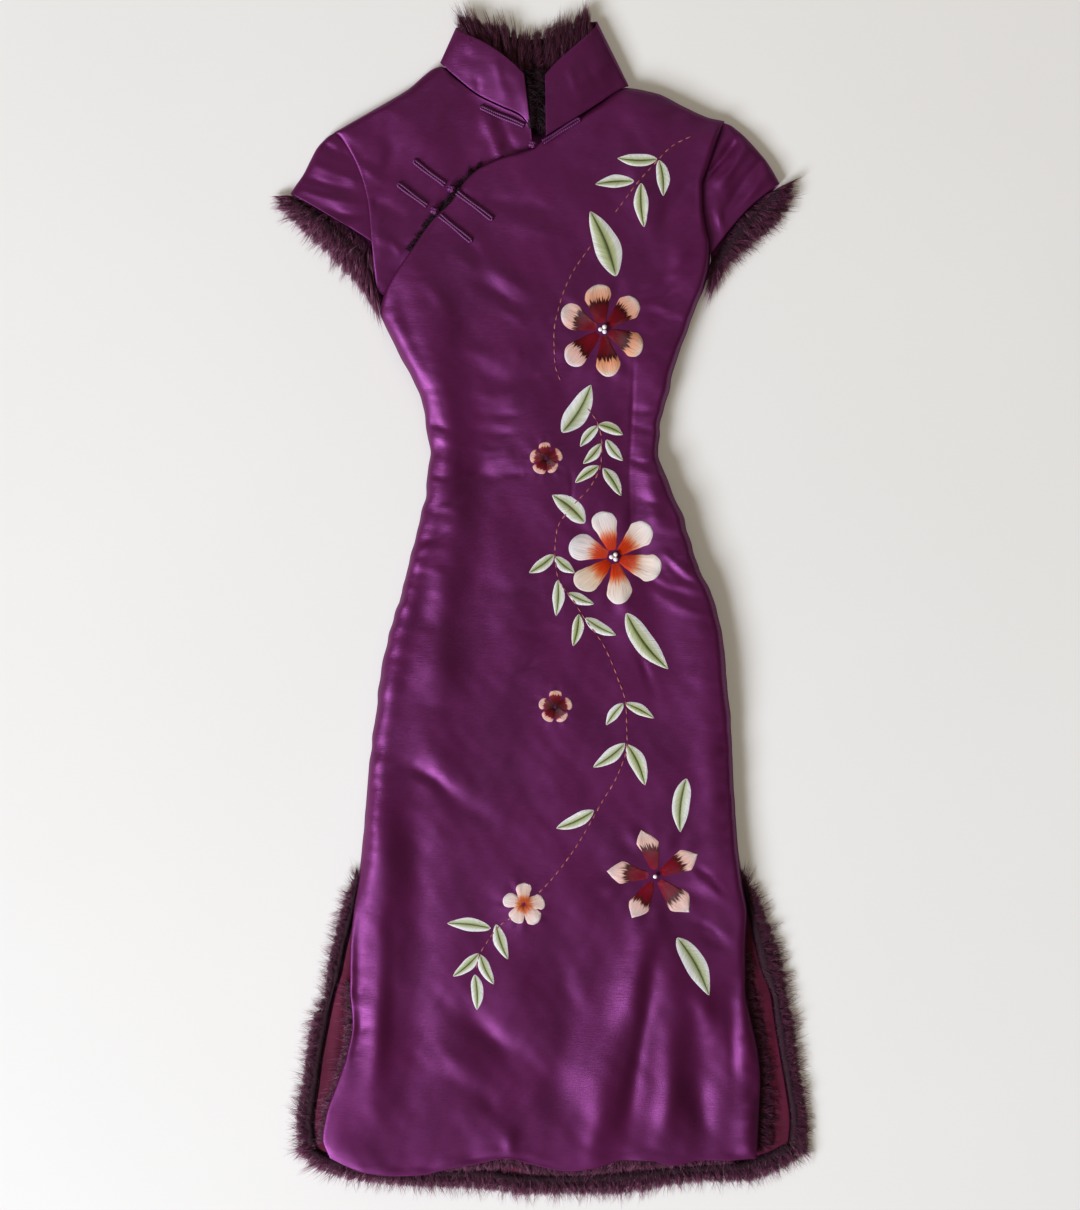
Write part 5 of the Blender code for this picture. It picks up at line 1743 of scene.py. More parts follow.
STRIPS = (
    Strip("fur_collar", "collar_fur", COLLAR_FUR, (4.0, 8.5, 4.0, 9.5), 10000, 19.0, 0.35, SHORT_ENDS, 0.55),
    Strip("fur_cuff_right", "cuff_fur_right", RIGHT_CUFF_FUR, CUFF_HEIGHTS, 6800, 17.0, 0.12, (2.5, 9.0)),
    Strip("fur_cuff_left", "cuff_fur_left", LEFT_CUFF_FUR, CUFF_HEIGHTS, 6000, 17.0, 0.12, (3.0, 9.0)),
    Strip("fur_back_right", "back_fur_right", BACK_FUR_RIGHT, BACK_HEIGHTS, 7000, 17.0, 0.08),
    Strip("fur_back_hem", "back_fur_hem", BACK_FUR_HEM, BACK_HEIGHTS, 10800, 18.0, 0.08),
    Strip("fur_back_left", "back_fur_left", BACK_FUR_LEFT, BACK_HEIGHTS, 7000, 17.0, 0.08),
    Strip("fur_front_right", "front_fur_right", FRONT_FUR_RIGHT, FRONT_HEIGHTS, 4000, 14.0, 0.05, FRONT_ENDS),
    Strip("fur_front_hem", "front_fur_hem", FRONT_FUR_HEM, FRONT_HEIGHTS, 7600, 14.0, 0.05, FRONT_ENDS),
    Strip("fur_front_left", "front_fur_left", FRONT_FUR_LEFT, FRONT_HEIGHTS, 4500, 14.0, 0.05, FRONT_ENDS),
    Strip("fur_wing_right", "collar_fur", RIGHT_WING_FUR, WING_HEIGHTS, 900, 16.0, 0.2, SHORT_ENDS),
    Strip("fur_wing_left", "collar_fur", LEFT_WING_FUR, WING_HEIGHTS, 900, 16.0, 0.2, SHORT_ENDS),
    Strip("fur_overlap", "overlap_fur", OVERLAP_FUR, (12.8, 15.2, 12.9, 16.5), 2400, 7.0, 0.02, (0.0, 0.0)),
)


@dataclass
class FurTrim:
    """Every strip of fur: felted underwool along the strip, and hairs growing out of it."""

    step: float = 4.0
    hair_radius: float = 0.24
    clump: float = 5.5
    gather: float = 0.75
    sway: float = 0.25
    reach: tuple[float, float] = (-275.5, 277.5)
    reach_along: tuple[float, float] = (-608.0, 612.0)
    floor: float = 0.4
    ceiling: float = 25.0
    over_lining: float = 0.3
    lining_top: float = 4.4
    wool_out: float = 0.9
    wool_back: float = 0.16
    wool_height: float = 0.86
    lump: tuple[float, float] = (0.5, 9.0)
    over_cuff: float = 0.35
    cuff_ends: tuple[float, float] = (12.0, 20.0)
    cuff_widening: float = 0.8
    cuff_narrowing: float = 0.75
    cuff_drop: float = 0.3
    cuff_turn: tuple[float, float] = (0.7, 14.0)
    cuff_start: float = 10.0
    cuff_start_lean: float = 0.6
    outermost: float = 0.95
    root_height: float = 0.84
    bunches_across: float = 3.0
    bunch_lean: float = 0.42
    hair_lean: float = 0.2
    end_lean: float = 0.13
    shortest: float = 1.5
    guard_share: float = 0.15
    guard_length: float = 1.3
    guard_beyond: float = 15.0
    wool_beyond: float = 2.0
    arch: float = 0.14

    def lay(self, strip: Strip) -> tuple[np.ndarray, np.ndarray]:
        """Lays out a strip's two edges.

        Args:
            strip: the strip.

        Returns:
            Distances along it and rows of inner x, y and outer x, y.
        """
        table = np.array(strip.rows, float)
        knots = knots_along((table[:, :2] + table[:, 2:]) / 2.0)
        at = np.linspace(0.0, knots[-1], max(4, round(knots[-1] / self.step)) + 1)
        return at, smooth_through(knots, table, at)

    def underwool(self, strip: Strip) -> bpy.types.Object:
        """Makes the dense wool under the hairs.

        Args:
            strip: the strip.

        Returns:
            The piece.
        """
        at, edges = self.lay(strip)
        section = np.array(FUR_SECTION + FUR_SECTION[:1])
        section[:, 0] = self.wool_out * section[:, 0] - self.wool_back * (strip.heights[0] == 0.0)
        low, high = strip.levels(section[:, 0])
        z = low + (high - low) * section[:, 1] * self.wool_height
        flat = edges[:, None, :2] + (edges[:, None, 2:] - edges[:, None, :2]) * section[None, :, :1]
        points = np.dstack((flat, np.tile(z, (len(at), 1))))
        lumps = self.lump[0] * ripple(points[:, :, 0], points[:, :, 1], self.lump[1], len(strip.name))
        points[:, :, 2] += lumps * np.clip(section[None, :, 1], 0.0, 1.0)
        middle = points[:, :-1].mean(axis=1, keepdims=True)
        points = np.concatenate((middle[:1] + 0.0 * points[:1], points, middle[-1:] + 0.0 * points[-1:]))
        obj = sheet_mesh(f"{strip.name}_wool", points, flip=True)
        obj.data.materials.append(FUR_SKIN.material())
        return settle(obj, "brown_fur", strip.node)

    def grow(self, strip: Strip, seed: int) -> tuple[np.ndarray, np.ndarray, np.ndarray]:
        """Works out where each hair starts, which way it leans and where its tip ends.

        Args:
            strip: the strip.
            seed: which irregular pattern.

        Returns:
            Roots, middles and tips, in millimetres.
        """
        random = np.random.default_rng(seed)
        at, edges = self.lay(strip)
        place = random.uniform(-strip.over[0], at[-1] + strip.over[1], strip.hairs)
        kept = np.clip(place, 0.0, at[-1])
        past = place - kept
        cuff = float("cuff" in strip.name)
        lined = strip.heights[0] == 0.0
        start = -self.over_lining if lined else -self.over_cuff * cuff
        ends = np.maximum(1.0 - place / self.cuff_ends[0], (place - at[-1]) / self.cuff_ends[1] + 1.0)
        start = start * (1.0 + cuff * self.cuff_widening * np.clip(ends, 0.0, 1.0))
        share = start + (self.outermost - start) * random.uniform(0.0, 1.0, strip.hairs) ** 0.8
        past *= 1.0 - self.cuff_narrowing * cuff * np.clip(share, 0.0, 1.0)
        here = smooth_through(at, edges, kept)
        ahead = smooth_through(at, edges, np.clip(kept + 1.0, 0.0, at[-1]))
        behind = smooth_through(at, edges, np.clip(kept - 1.0, 0.0, at[-1]))
        along = (ahead - behind)[:, :2]
        along /= np.hypot(along[:, 0], along[:, 1])[:, None]
        inner, reach = here[:, :2] + along * past[:, None], here[:, 2:] - here[:, :2]
        width = np.hypot(reach[:, 0], reach[:, 1])
        out = reach / width[:, None]
        section = np.array(FUR_SECTION[:5])
        crest = np.interp(share, section[:, 0], section[:, 1])
        crest = crest - cuff * np.where(share < 0.0, self.cuff_drop, 0.0)
        low, high = strip.levels(share)
        loose, dense = (random.uniform(least, 1.0, strip.hairs) for least in (0.1, 0.75))
        root_z = low + (high - low) * crest * self.root_height * np.where(share > 0.8, loose, dense)
        root_z = np.where(share < 0.08, np.maximum(root_z, self.lining_top * lined), root_z)
        root = np.column_stack((inner + reach * share[:, None], root_z))
        row = np.floor(share * self.bunches_across) / self.bunches_across
        tuft = np.round(place / self.clump + 0.25 * np.sin(place) + row)
        tuft_place = (tuft - row + 0.35 * np.sin(7.3 * tuft + row)) * self.clump
        off = np.clip((tuft_place - place) / self.clump, -1.0, 1.0)
        pull = off * self.clump * self.gather * (strip.length > 8.0)
        lean = self.sway * np.sin(place / 23.0 + seed) + self.bunch_lean * np.sin(tuft * 2.7 + 5.0 * row)
        fan = strip.fan * (2.0 * place / at[-1] - 1.0)
        lean += random.normal(0.0, self.hair_lean, strip.hairs) + fan
        most, reach_back = self.cuff_turn
        cuff_turn = most * np.clip((place - at[-1] + reach_back) / reach_back, 0.0, 1.0)
        lean += self.end_lean * past + cuff * cuff_turn
        at_start = (cuff > 0.0) & (place < self.cuff_start)
        lean = np.where(at_start, self.cuff_start_lean * np.abs(lean), lean)
        tuft_length = 1.0 + 0.3 * np.sin(tuft * 4.1 + seed)
        length = strip.length * tuft_length * random.uniform(0.45, 1.2, strip.hairs)
        length *= 1.0 - 0.5 * off**2
        guard = random.uniform(size=strip.hairs) > 1.0 - self.guard_share
        beyond = width * (1.0 - share) + np.where(guard, self.guard_beyond, self.wool_beyond)
        length = np.where(guard, self.guard_length * length, length)
        length = np.minimum(length, beyond * random.uniform(0.6, 1.15, strip.hairs) + self.wool_beyond)
        flat = out * np.cos(lean)[:, None] + along * np.sin(lean)[:, None]
        climb = strip.lift + random.normal(0.0, 0.12, strip.hairs)
        drop = -0.12 - 0.2 * share
        room = np.where(flat[:, 0] < 0.0, root[:, 0] - self.reach[0], self.reach[1] - root[:, 0])
        room *= random.uniform(0.7, 1.0, strip.hairs)
        length = np.clip(length, self.shortest, room / np.maximum(np.abs(flat[:, 0]), 0.05))
        across = flat * length[:, None] + along * pull[:, None]
        tip = root + np.column_stack((across, (climb + drop) * length))
        middle = (root + tip) / 2.0
        middle[:, 2] += self.arch * length
        middle[:, :2] -= along * (0.35 * pull)[:, None]
        highest = np.minimum(high + 1.5 + 20.0 * strip.lift, self.ceiling)
        for points in (middle, tip):
            points[:, 2] = np.clip(points[:, 2], self.floor, highest)
            points[:, 0] = np.clip(points[:, 0], *self.reach)
            points[:, 1] = np.clip(points[:, 1], *self.reach_along)
        return root, middle, tip

    def hairs(self, strip: Strip, seed: int) -> bpy.types.Object:
        """Makes all the hairs of a strip as one mesh of thin tapered spikes.

        Args:
            strip: the strip.
            seed: which irregular pattern.

        Returns:
            The piece.
        """
        root, middle, tip = self.grow(strip, seed)
        random = np.random.default_rng(seed + 100)
        run = tip - root
        run /= np.sqrt((run**2).sum(axis=1))[:, None]
        side = np.cross(run, (0.0, 0.0, 1.0))
        side /= np.maximum(np.sqrt((side**2).sum(axis=1)), TINY)[:, None]
        rise = np.cross(side, run)
        radius = self.hair_radius * random.uniform(0.6, 1.25, len(root))
        rings = []
        for centre, share in ((root, 1.0), (middle, 0.75)):
            for turn in (0.0, 2.0 * math.pi / 3.0, 4.0 * math.pi / 3.0):
                offset = side * math.cos(turn) + rise * math.sin(turn)
                rings.append(centre + offset * (radius * share)[:, None])
        points = np.stack(rings + [tip], axis=1)
        corners = np.arange(len(root))[:, None] * 7
        sides = [corners + np.array((a, b, b + 3, a + 3)) for a, b in ((0, 1), (1, 2), (2, 0))]
        ends = [corners + np.array((a, b, 6)) for a, b in ((3, 4), (4, 5), (5, 3))]
        faces = np.concatenate(sides).tolist() + np.concatenate(ends).tolist()
        obj = add_mesh(f"{strip.name}_hair", points, faces)
        give_values(obj, "along", np.tile((0.0, 0.0, 0.0, 0.5, 0.5, 0.5, 1.0), len(root)))
        give_values(obj, "shade", np.repeat(random.beta(1.6, 2.6, len(root)), 7))
        # Hairs under the overlap and between the collar's wings get the darker copy of the fur, as painted
        # shade.
        shaded = strip.node == "overlap_fur" or "wing" in strip.name
        obj.data.materials.append((FUR_PAINTED_SHADE if shaded else FUR).material())
        return settle(obj, "brown_fur", strip.node)

    def build(self) -> Group:
        """Makes every strip.

        Returns:
            The group, wool and hairs in turn.
        """
        made = []
        for number, strip in enumerate(STRIPS):
            made.append(self.underwool(strip))
            made.append(self.hairs(strip, 300 + number))
        return Group("fur", tuple(made))


def tube_mesh(name: str, path: np.ndarray, radii: np.ndarray, sides: int, closed: bool) -> bpy.types.Object:
    """Makes a tube along a path.

    Args:
        name: the object's name.
        path: its middle line, in millimetres.
        radii: for each point of the path, the radius at each side.
        sides: how many sides it has.
        closed: whether its end joins its start.

    Returns:
        The new object.
    """
    ahead = np.roll(path, -1, axis=0) - np.roll(path, 1, axis=0)
    if not closed:
        ahead[0] = path[1] - path[0]
        ahead[-1] = path[-1] - path[-2]
    ahead /= np.sqrt((ahead**2).sum(axis=1))[:, None]
    aside = np.cross(ahead, (0.0, 0.0, 1.0))
    aside /= np.maximum(np.sqrt((aside**2).sum(axis=1)), TINY)[:, None]
    up = np.cross(aside, ahead)
    turn = np.linspace(0.0, 2.0 * math.pi, sides, endpoint=False)
    ring = aside[:, None] * np.cos(turn)[None, :, None] + up[:, None] * np.sin(turn)[None, :, None]
    points = path[:, None] + ring * radii[:, :, None]
    rows = len(path)
    last = rows if closed else rows - 1
    faces = []
    for row in range(last):
        here, after = row * sides, (row + 1) % rows * sides
        faces.extend((here + side, here + (side + 1) % sides, after + (side + 1) % sides, after + side)
                     for side in range(sides))
    if not closed:
        faces.append(tuple(reversed(range(sides))))
        faces.append(tuple(range((rows - 1) * sides, rows * sides)))
    return add_mesh(name, points, faces)


@dataclass
class FrogClosures:
    """Three frogs: two arms of doubled cord sewn down, with a knot button between them."""

    drape: Drape
    cord_radius: float = 1.55
    spacing: float = 2.7
    step: float = 0.6
    twist: float = 4.6
    sides: int = 12
    knot_size: tuple[float, float, float] = (4.4, 4.0, 3.6)
    knot_cord: float = 1.15
    knot_fill: float = 0.72
    loop_steps: int = 14
    wander: tuple[float, float] = (0.25, 6.0)
    foot: float = 1.2
    ply_offset: float = 0.35
    ply_radius: float = 0.66
    calm_steps: int = 4
    sink: float = 0.3
    seat: float = 0.75

    def arm(self, name: str, tip: tuple, root: tuple) -> bpy.types.Object:
        """Makes one arm: a twisted cord laid out to its tip and back beside itself.

        Args:
            name: the CAD node that it replaces.
            tip: its far end.
            root: its end by the knot.

        Returns:
            The piece.
        """
        start, end = np.array(root, float), np.array(tip, float)
        run = end - start
        length = np.hypot(*run)
        ahead = run / length
        aside = np.array((-ahead[1], ahead[0])) * self.spacing / 2.0
        walk = np.linspace(0.0, 1.0, max(4, round(length / self.step)))[:, None]
        bend = np.linspace(0.0, math.pi, self.loop_steps)[1:-1, None]
        turn = aside * np.cos(bend) + ahead * (self.spacing / 2.0) * np.sin(bend)
        flat = np.concatenate((start + aside + run * walk, end + turn, end - aside - run * walk))
        wander = self.wander[0] * np.sin(np.arange(len(flat)) * self.step / self.wander[1] + len(name))
        flat = flat + np.array((-ahead[1], ahead[0])) * wander[:, None]
        reach = self.foot * self.cord_radius
        around = [self.drape.heights(flat[:, 0] + x, flat[:, 1] + y)
                  for x, y in ((0, 0), (reach, 0), (-reach, 0), (0, reach), (0, -reach))]
        height = np.max(around, axis=0)
        window = np.ones(2 * self.calm_steps + 1) / (2.0 * self.calm_steps + 1.0)
        calm = np.convolve(np.pad(height, self.calm_steps, mode="edge"), window, mode="valid")
        level = np.maximum(calm, height - self.sink) + self.seat * self.cord_radius
        path = np.column_stack((flat, level))
        place = knots_along(path)[:, None]
        angle = np.linspace(0.0, 2.0 * math.pi, self.sides, endpoint=False)[None, :]
        away = np.abs(np.cos(angle - 2.0 * math.pi * place / self.twist))
        outside = np.sqrt(self.ply_radius**2 - self.ply_offset**2 * (1.0 - away**2))
        plies = self.ply_offset * away + outside
        return tube_mesh(f"{name}_cord", path, self.cord_radius * plies, self.sides, False)

    def knot(self, name: str) -> bpy.types.Object:
        """Makes a knot button: one cord woven over and under itself into a ball.

        Args:
            name: the CAD node that it replaces, which also gives its place.

        Returns:
            The piece.
        """
        size = np.array(self.knot_size)
        middle = np.array([(low + high) / 2.0 for low, high in zip(*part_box(name))]) / MM
        turn = np.linspace(0.0, 6.0 * math.pi, 160, endpoint=False)
        tilt = math.radians(64.0) * np.sin(4.0 * turn / 3.0)
        out = 0.86 + 0.09 * np.cos(8.0 * turn / 3.0)
        ball = np.column_stack((np.cos(turn) * np.cos(tilt), np.sin(turn) * np.cos(tilt), np.sin(tilt)))
        path = middle + ball * out[:, None] * (size - 0.7 * self.knot_cord)
        radii = np.full((len(path), 8), self.knot_cord)
        cord = tube_mesh(f"{name}_cord", path, radii, 8, True)
        heart = sheet_mesh(f"{name}_heart", self.ball_points(middle, size * self.knot_fill))
        bpy.ops.object.select_all(action="DESELECT")
        heart.select_set(True)
        cord.select_set(True)
        bpy.context.view_layer.objects.active = cord
        bpy.ops.object.join()
        return cord

    def ball_points(self, middle: np.ndarray, size: np.ndarray) -> np.ndarray:
        """Works out the filling inside a knot.

        Args:
            middle: its middle.
            size: its half sizes.

        Returns:
            Rows of points from pole to pole.
        """
        tilt = np.linspace(-1.4, 1.4, 8)[:, None]
        turn = np.linspace(0.0, 2.0 * math.pi, 15)[None, :]
        shape = (np.cos(tilt) * np.cos(turn), np.cos(tilt) * np.sin(turn), np.sin(tilt) + 0.0 * turn)
        return middle + np.dstack(shape) * size

    def build(self) -> Group:
        """Makes all three frogs.

        Returns:
            The group.
        """
        made = []
        for number, (right_tip, right_root, left_tip, left_root) in enumerate(FROGS, start=1):
            for side, tip, root in (("right", right_tip, right_root), ("left", left_tip, left_root)):
                node = f"frog_{number}_arm_{side}"
                made.append(settle(self.arm(node, tip, root), "plum_cord", node))
            node = f"frog_{number}_knot"
            made.append(settle(self.knot(node), "plum_cord", node))
        for obj in made:
            obj.data.materials.clear()
            obj.data.materials.append(CORD.material())
        return Group("closures", tuple(made))


class StitchPile:
    """Collects small padded patches of stitches into one mesh."""

    def __init__(self, name: str, drape: Drape):
        """Starts an empty pile.

        Args:
            name: the mesh's name.
            drape: what the stitches lie on.
        """
        self.name = name
        self.drape = drape
        self.grids = []
        self.spots = []
        self.along = []
        self.shade = []

    def add(self, flat: np.ndarray, rise: np.ndarray, spots: np.ndarray, along: np.ndarray,
            shade: float) -> None:
        """Lays one patch on the cloth.

        Args:
            flat: rows of x and y, in millimetres.
            rise: how high each point is above the cloth.
            spots: where each point is among the stitches, in millimetres.
            along: each point's place on the thread's colour ramp.
            shade: how much of the thread's second ramp shows.
        """
        ground = self.drape.heights(flat[:, :, 0], flat[:, :, 1])
        self.grids.append(np.dstack((flat, ground + rise)))
        self.spots.append(spots)
        self.along.append(along)
        self.shade.append(np.full(along.shape, shade))

    def finish(self, material: bpy.types.Material) -> bpy.types.Object:
        """Makes the mesh.

        Args:
            material: the thread.

        Returns:
            The piece.
        """
        faces = []
        start = 0
        for grid in self.grids:
            faces.append(grid_faces(*grid.shape[:2], start))
            start += grid.shape[0] * grid.shape[1]
        faces = np.concatenate(faces)
        points = np.concatenate([grid.reshape(-1, 3) for grid in self.grids])
        obj = add_mesh(self.name, points, faces.tolist())
        give_spots(obj, np.concatenate([spot.reshape(-1, 2) for spot in self.spots]), faces)
        obj.data.materials.append(material)
        for name, values in (("along", self.along), ("shade", self.shade)):
            give_values(obj, name, np.concatenate([value.ravel() for value in values]))
        return settle(obj, "plum_satin")


def laid_out(start: tuple, run: np.ndarray, forward: np.ndarray, sideways: np.ndarray) -> np.ndarray:
    """Lays a patch out from a point along a direction.

    Args:
        start: x and y of the patch's foot.
        run: the direction, of length 1.
        forward: how far along each point is.
        sideways: how far to the left of the direction it is.

    Returns:
        Rows of x and y.
    """
    x = start[0] + run[0] * forward - run[1] * sideways
    y = start[1] + run[1] * forward + run[0] * sideways
    return np.dstack((x, y))


@dataclass
class Embroidery:
    """Flowers, leaves, vine stitches and pearls, sewn on the front."""

    drape: Drape
    padding: float = 0.95
    sink: float = 0.12
    petal_rows: int = 24
    petal_columns: int = 17
    leaf_rows: int = 25
    leaf_columns: int = 13
    pearl_radius: float = 2.3
    seed: int = 77
    small_reach: float = 30.0
    heart: tuple[float, float] = (6.5, 1.5)
    petal_root: tuple[float, float] = (0.28, 0.45)
    petal_base: float = 0.95
    petal_gap: float = 40.0
    leaf_gap: float = 60.0
    leaf_widening: float = 1.12
    leaf_groove: float = 0.35
    leaf_rise: float = 0.5
    lit_side: float = 0.16
    stalk_shade: float = 0.35
    stalk_share: float = 0.06
    stitch_rise: float = 0.75

    def __post_init__(self) -> None:
        """Starts the irregularity that all the stitches share."""
        self.random = np.random.default_rng(self.seed)

    def petal_width(self, s: np.ndarray, shape: PetalShape, root: float) -> np.ndarray:
        """Gives a petal's half width along it.

        Args:
            s: shares of the way from the heart to the tip.
            shape: how its tip closes.
            root: how wide it is at the heart, as a share.

        Returns:
            Shares of its greatest half width.
        """
        widest, power = (0.68, 2.0) if shape is PetalShape.ROUND else (0.66, 1.3)
        base = root + (1.0 - root) * np.clip(s / widest, 0.0, 1.0) ** self.petal_base
        past = np.clip((s - widest) / (1.0 - widest), 0.0, 1.0)
        tip = np.clip(1.0 - past**power, 0.0, 1.0)
        return base * (np.sqrt(tip) if shape is PetalShape.ROUND else tip)

    def pad(self, t: np.ndarray, s: np.ndarray) -> np.ndarray:
        """Gives how high a padded patch stands.

        Args:
            t: shares from its middle line to its edge, signed.
            s: shares along it.

        Returns:
            Heights above the cloth, in millimetres.
        """
        ends = np.clip(np.minimum(s, 1.0 - s) / 0.06, 0.0, 1.0)
        return (self.padding + self.sink) * (1.0 - np.abs(t) ** 4) * np.sqrt(ends) - self.sink

    def flower(self, flower: Flower) -> bpy.types.Object:
        """Makes a flower's petals.

        Args:
            flower: its place, size and threads.

        Returns:
            The piece.
        """
        pile = StitchPile(flower.name, self.drape)
        s = np.sin(0.5 * math.pi * np.linspace(0.0, 1.0, self.petal_rows)[:, None] ** 0.9)
        t = np.linspace(-1.0, 1.0, self.petal_columns)[None, :]
        small = flower.reach <= self.small_reach
        begin, root = self.heart[small], self.petal_root[small]
        for number in range(flower.petals):
            turn = flower.turn + 360.0 * number / flower.petals + self.random.normal(0.0, 2.2)
            turn = math.radians(turn)
            reach = flower.reach * (1.0 + self.random.normal(0.0, 0.035)) - begin
            half = flower.half_width * (1.0 + self.random.normal(0.0, 0.05))
            bend = self.random.normal(0.0, 0.05) * flower.reach
            bumps = 1.0 + 0.03 * np.sin(9.0 * s + 3.0 * number) + 0.02 * np.sin(23.0 * s + number)
            width = half * self.petal_width(s, flower.shape, root) * bumps
            forward = begin + reach * (s + 0.0 * t)
            sideways = width * t + bend * s**2
            flat = laid_out(flower.centre, (math.cos(turn), math.sin(turn)), forward, sideways)
            rise = self.pad(t, s) * min(1.0, flower.reach / 28.0) + 0.04 * number
            spots = np.dstack((half * t + 0.0 * s + self.petal_gap * number, reach * s + 0.0 * t))
            along = np.clip(s + 0.06 * np.abs(t) ** 3, 0.0, 1.0)
            pile.add(flat, rise, spots, along, self.random.uniform(0.0, 1.0))
        return pile.finish(THREADS[flower.thread].material())

    def leaves(self) -> bpy.types.Object:
        """Makes all the leaves.

        Returns:
            The piece.
        """
        pile = StitchPile("leaves", self.drape)
        s = np.linspace(0.0, 1.0, self.leaf_rows)[:, None]
        t = np.linspace(-1.0, 1.0, self.leaf_columns)[None, :]
        for number, (x0, y0, x1, y1, half, bend) in enumerate(LEAVES):
            run = np.array((x1 - x0, y1 - y0), float)
            length = np.hypot(*run)
            ahead = run / length
            shape = np.sin(math.pi * np.clip(s, 0.004, 0.996) ** 0.85) ** 0.78
            width = self.leaf_widening * half * shape * (1.0 + 0.04 * np.sin(11.0 * s + number))
            sideways = width * t + bend * np.sin(math.pi * s)
            flat = laid_out((x0, y0), ahead, length * s + 0.0 * t, sideways)
            groove = self.leaf_groove * np.exp(-((t / 0.16) ** 2)) * np.sin(math.pi * s)
            rise = self.pad(t, s) * self.leaf_rise - groove
            slanted = length * s - 0.8 * half * np.abs(t)
            spots = np.dstack((slanted + self.leaf_gap * number, half * t + 0.0 * s))
            way = 1.0 if number % 2 else -1.0
            lit = self.lit_side * np.clip(4.0 * t * way, 0.0, 1.0)
            stalk = np.clip((self.stalk_share - s) / self.stalk_share, 0.0, 1.0)
            along = np.clip(np.abs(t) + lit + self.stalk_shade * stalk, 0.0, 1.0)
            pile.add(flat, rise, spots, along, self.random.uniform(0.0, 1.0))
        return pile.finish(THREADS["leaf_thread"].material())

    def vine(self) -> bpy.types.Object:
        """Makes the vine's running stitches.

        Returns:
            The piece.
        """
        pile = StitchPile("vine_stitches", self.drape)
        s = np.linspace(0.0, 1.0, 9)[:, None]
        t = np.linspace(-1.0, 1.0, 7)[None, :]
        for route in VINE_ROUTES:
            path = np.array(route, float)
            knots = knots_along(path)
            place = 0.0
            while place + STITCH_LENGTH < knots[-1]:
                ends = smooth_through(knots, path, np.array((place, place + STITCH_LENGTH)))
                run = ends[1] - ends[0]
                length = np.hypot(*run)
                ahead = run / length
                shape = np.sin(math.pi * np.clip(s, 0.03, 0.97)) ** 0.6
                sideways = 0.5 * STITCH_WIDTH * self.random.uniform(0.85, 1.15) * shape * t
                flat = laid_out(ends[0], ahead, length * s, sideways)
                arch = np.sqrt(np.clip(1.0 - t**2, 0.0, 1.0)) * np.sin(math.pi * s) ** 0.4
                rise = self.stitch_rise * arch - 0.05
                spots = np.dstack((sideways + place, length * s + 0.0 * t))
                pile.add(flat, rise, spots, s + 0.0 * t, self.random.uniform(0.0, 1.0))
                place += STITCH_LENGTH + STITCH_GAP * self.random.uniform(0.7, 1.3)
        return pile.finish(THREADS["vine_thread"].material())

    def pearls(self) -> bpy.types.Object:
        """Makes the pearls in the flowers' hearts.

        Returns:
            The piece.
        """
        pile = StitchPile("pearls", self.drape)
        tilt = np.linspace(-0.5 * math.pi, 0.5 * math.pi, 13)[:, None]
        turn = np.linspace(0.0, 2.0 * math.pi, 21)[None, :]
        for flower in FLOWERS:
            for number in range(flower.pearls):
                out = 0.0 if flower.pearls == 1 else 1.2 * self.pearl_radius
                angle = math.radians(flower.turn + 200.0 + 360.0 * number / 3.0)
                x, y = (flower.centre[0] + out * math.cos(angle), flower.centre[1] + out * math.sin(angle))
                radius = self.pearl_radius * self.random.uniform(0.94, 1.06)
                level = self.drape.height(x, y) + self.padding
                hole = 1.0 - 0.10 * np.exp(-(((math.pi / 2.0 - tilt) / 0.3) ** 2))
                round_about = radius * np.cos(tilt)
                flat = np.dstack((x + round_about * np.cos(turn), y + round_about * np.sin(turn)))
                height = level + radius * (0.9 + np.sin(tilt) * hole) + 0.0 * turn
                ground = self.drape.heights(flat[:, :, 0], flat[:, :, 1])
                pile.add(flat, height - ground, flat, 0.0 * height, 0.0)
        return pile.finish(PEARL.material())

    def build(self) -> Group:
        """Makes every stitched and beaded piece.

        Returns:
            The group.
        """
        made = [self.flower(flower) for flower in FLOWERS]
        made.extend((self.leaves(), self.vine(), self.pearls()))
        return Group("embroidery", tuple(made))


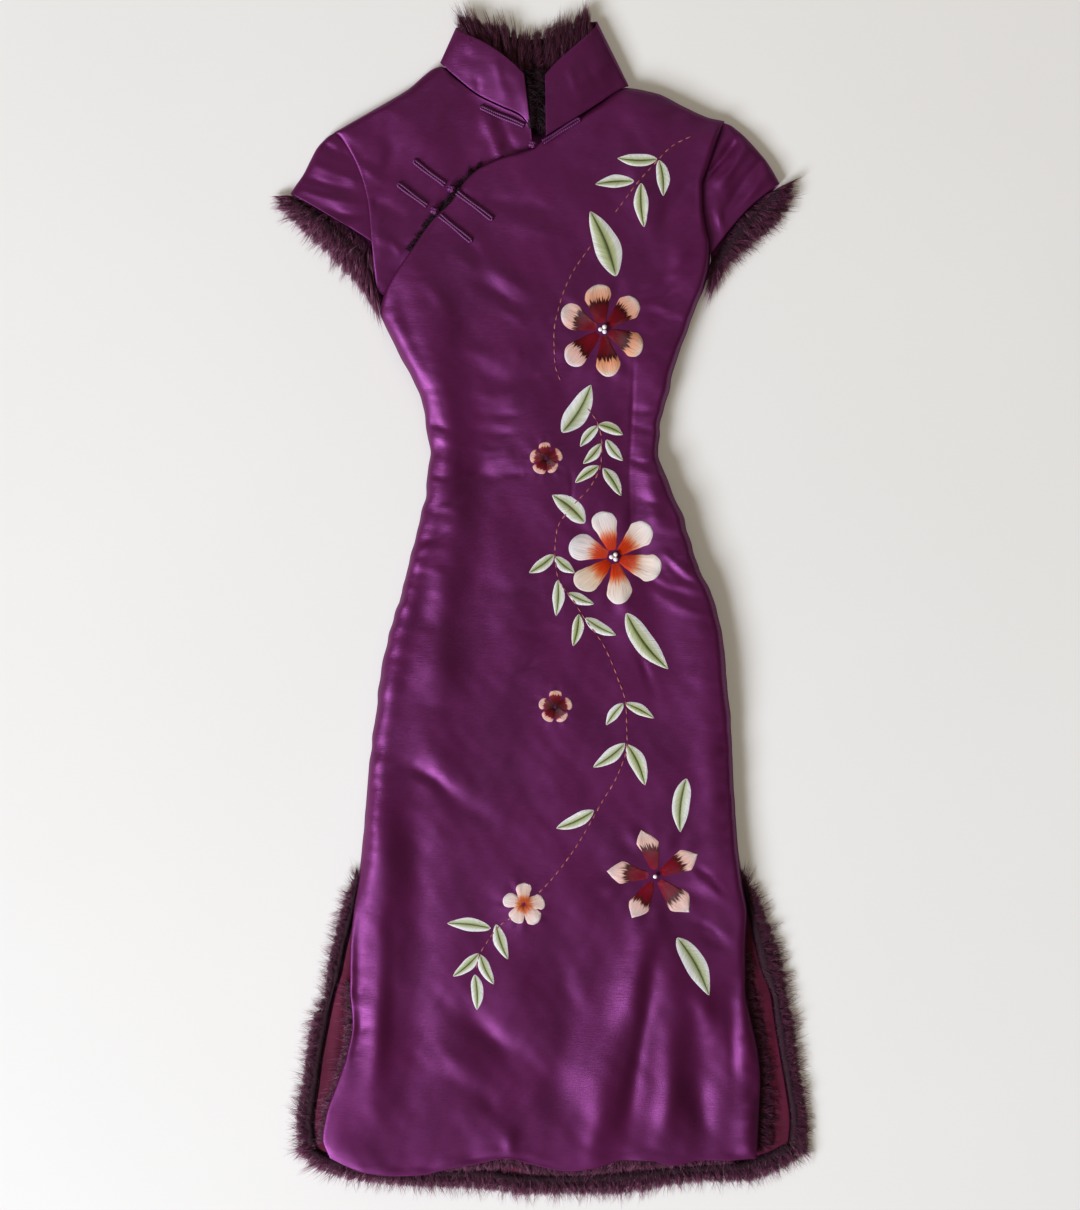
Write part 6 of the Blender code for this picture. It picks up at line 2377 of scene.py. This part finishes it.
@dataclass
class Studio:
    """The camera straight above the garment, soft daylight from its right side and a pale floor with a faint
    painted glow.
    """

    look_at: tuple[float, float] = (-1.0, -1.0)
    height: float = 4.0
    picture: tuple[float, float] = (1080.0, 1210.0)
    sensor: float = 36.0
    focus_height: float = 0.012
    floor_half: float = 3.0
    floor_level: float = -0.3
    painted_glow: float = 0.12
    room_light: float = 0.15

    def camera(self) -> bpy.types.Object:
        """Places the camera.

        Returns:
            The camera.
        """
        data = bpy.data.cameras.new("camera")
        data.sensor_fit = "VERTICAL"
        data.sensor_height = self.sensor
        wide, tall = self.picture
        data.sensor_width = self.sensor * wide / tall
        data.lens = self.sensor * (self.height - self.focus_height) / (tall * MM)
        data.clip_end = 50.0
        camera = bpy.data.objects.new("camera", data)
        camera.location = (self.look_at[0] * MM, self.look_at[1] * MM, self.height)
        bpy.context.scene.collection.objects.link(camera)
        bpy.context.scene.camera = camera
        return camera

    def light(self, name: str, place: tuple, size: float, power: float, colour: str) -> bpy.types.Object:
        """Places an area light that looks at the garment.

        Args:
            name: the light's name.
            place: where it is, in metres.
            size: its side, in metres.
            power: in watts.
            colour: an sRGB hex code.

        Returns:
            The light.
        """
        data = bpy.data.lights.new(name, "AREA")
        data.size = size
        data.energy = power
        data.color = srgb(colour)[:3]
        light = bpy.data.objects.new(name, data)
        light.location = place
        light.rotation_euler = Vector(place).to_track_quat("Z", "Y").to_euler()
        bpy.context.scene.collection.objects.link(light)
        return light

    def floor(self) -> bpy.types.Object:
        """Lays a pale paper floor with a faint painted glow that lifts its shadows.

        Returns:
            The floor.
        """
        look = Shading("paper_backdrop_matt_painted_glow", 0.9, 0.0, "#ffffff")
        shade = look.mixed(look.noise(look.place, 400.0), "#dedcd6", "#e4e2dc")
        # Painted glow: the floor emits a faint warm light, which lifts its own shadows and lights the fur
        # from below.
        look.set({"Base Color": shade, "Emission Color": srgb("#fff6e6"), "Emission Strength": self.painted_glow})
        half = self.floor_half / MM
        corners = [[(x, y, self.floor_level) for x in (-half, half)] for y in (-half, half)]
        floor = sheet_mesh("paper_floor", np.array(corners))
        floor.data.materials.append(look.material)
        return floor

    def world(self) -> None:
        """Fills the shadows with pale light from all round."""
        scene = bpy.context.scene
        world = bpy.data.worlds.new("pale_room")
        scene.world = world
        world.use_nodes = True
        background = world.node_tree.nodes["Background"]
        set_inputs(world.node_tree, background, {"Color": srgb("#ffefd0"), "Strength": self.room_light})
        scene.view_settings.view_transform = "Standard"
        scene.view_settings.look = "Medium High Contrast"

    def build(self) -> None:
        """Sets the whole studio up."""
        self.camera()
        self.light("window", (-4.9, -4.3, 4.2), 3.4, 810.0, "#eaf0ff")
        self.light("fill", (0.6, 2.6, 2.4), 2.0, 9.0, "#ffffff")
        self.floor()
        self.world()


def main() -> None:
    """Builds the garment's looks in order and logs how many pieces each group has."""
    logging.basicConfig(level=logging.INFO, format="%(message)s")
    Studio().build()
    body = SatinBody().build()
    sleeves = CapSleeves().build()
    collar = StandCollar().build()
    fur = FurTrim().build()
    overlap_wool = [piece for piece in fur.pieces if piece.name == "fur_overlap_wool"]
    drape = Drape([body.pieces[0], body.pieces[1], collar.pieces[0], *overlap_wool])
    closures = FrogClosures(drape).build()
    embroidery = Embroidery(Drape([body.pieces[0]])).build()
    for group in (body, sleeves, collar, fur, closures, embroidery):
        LOG.info("%s: %d pieces", group.name, len(group.pieces))


if __name__ == "__main__":
    main()
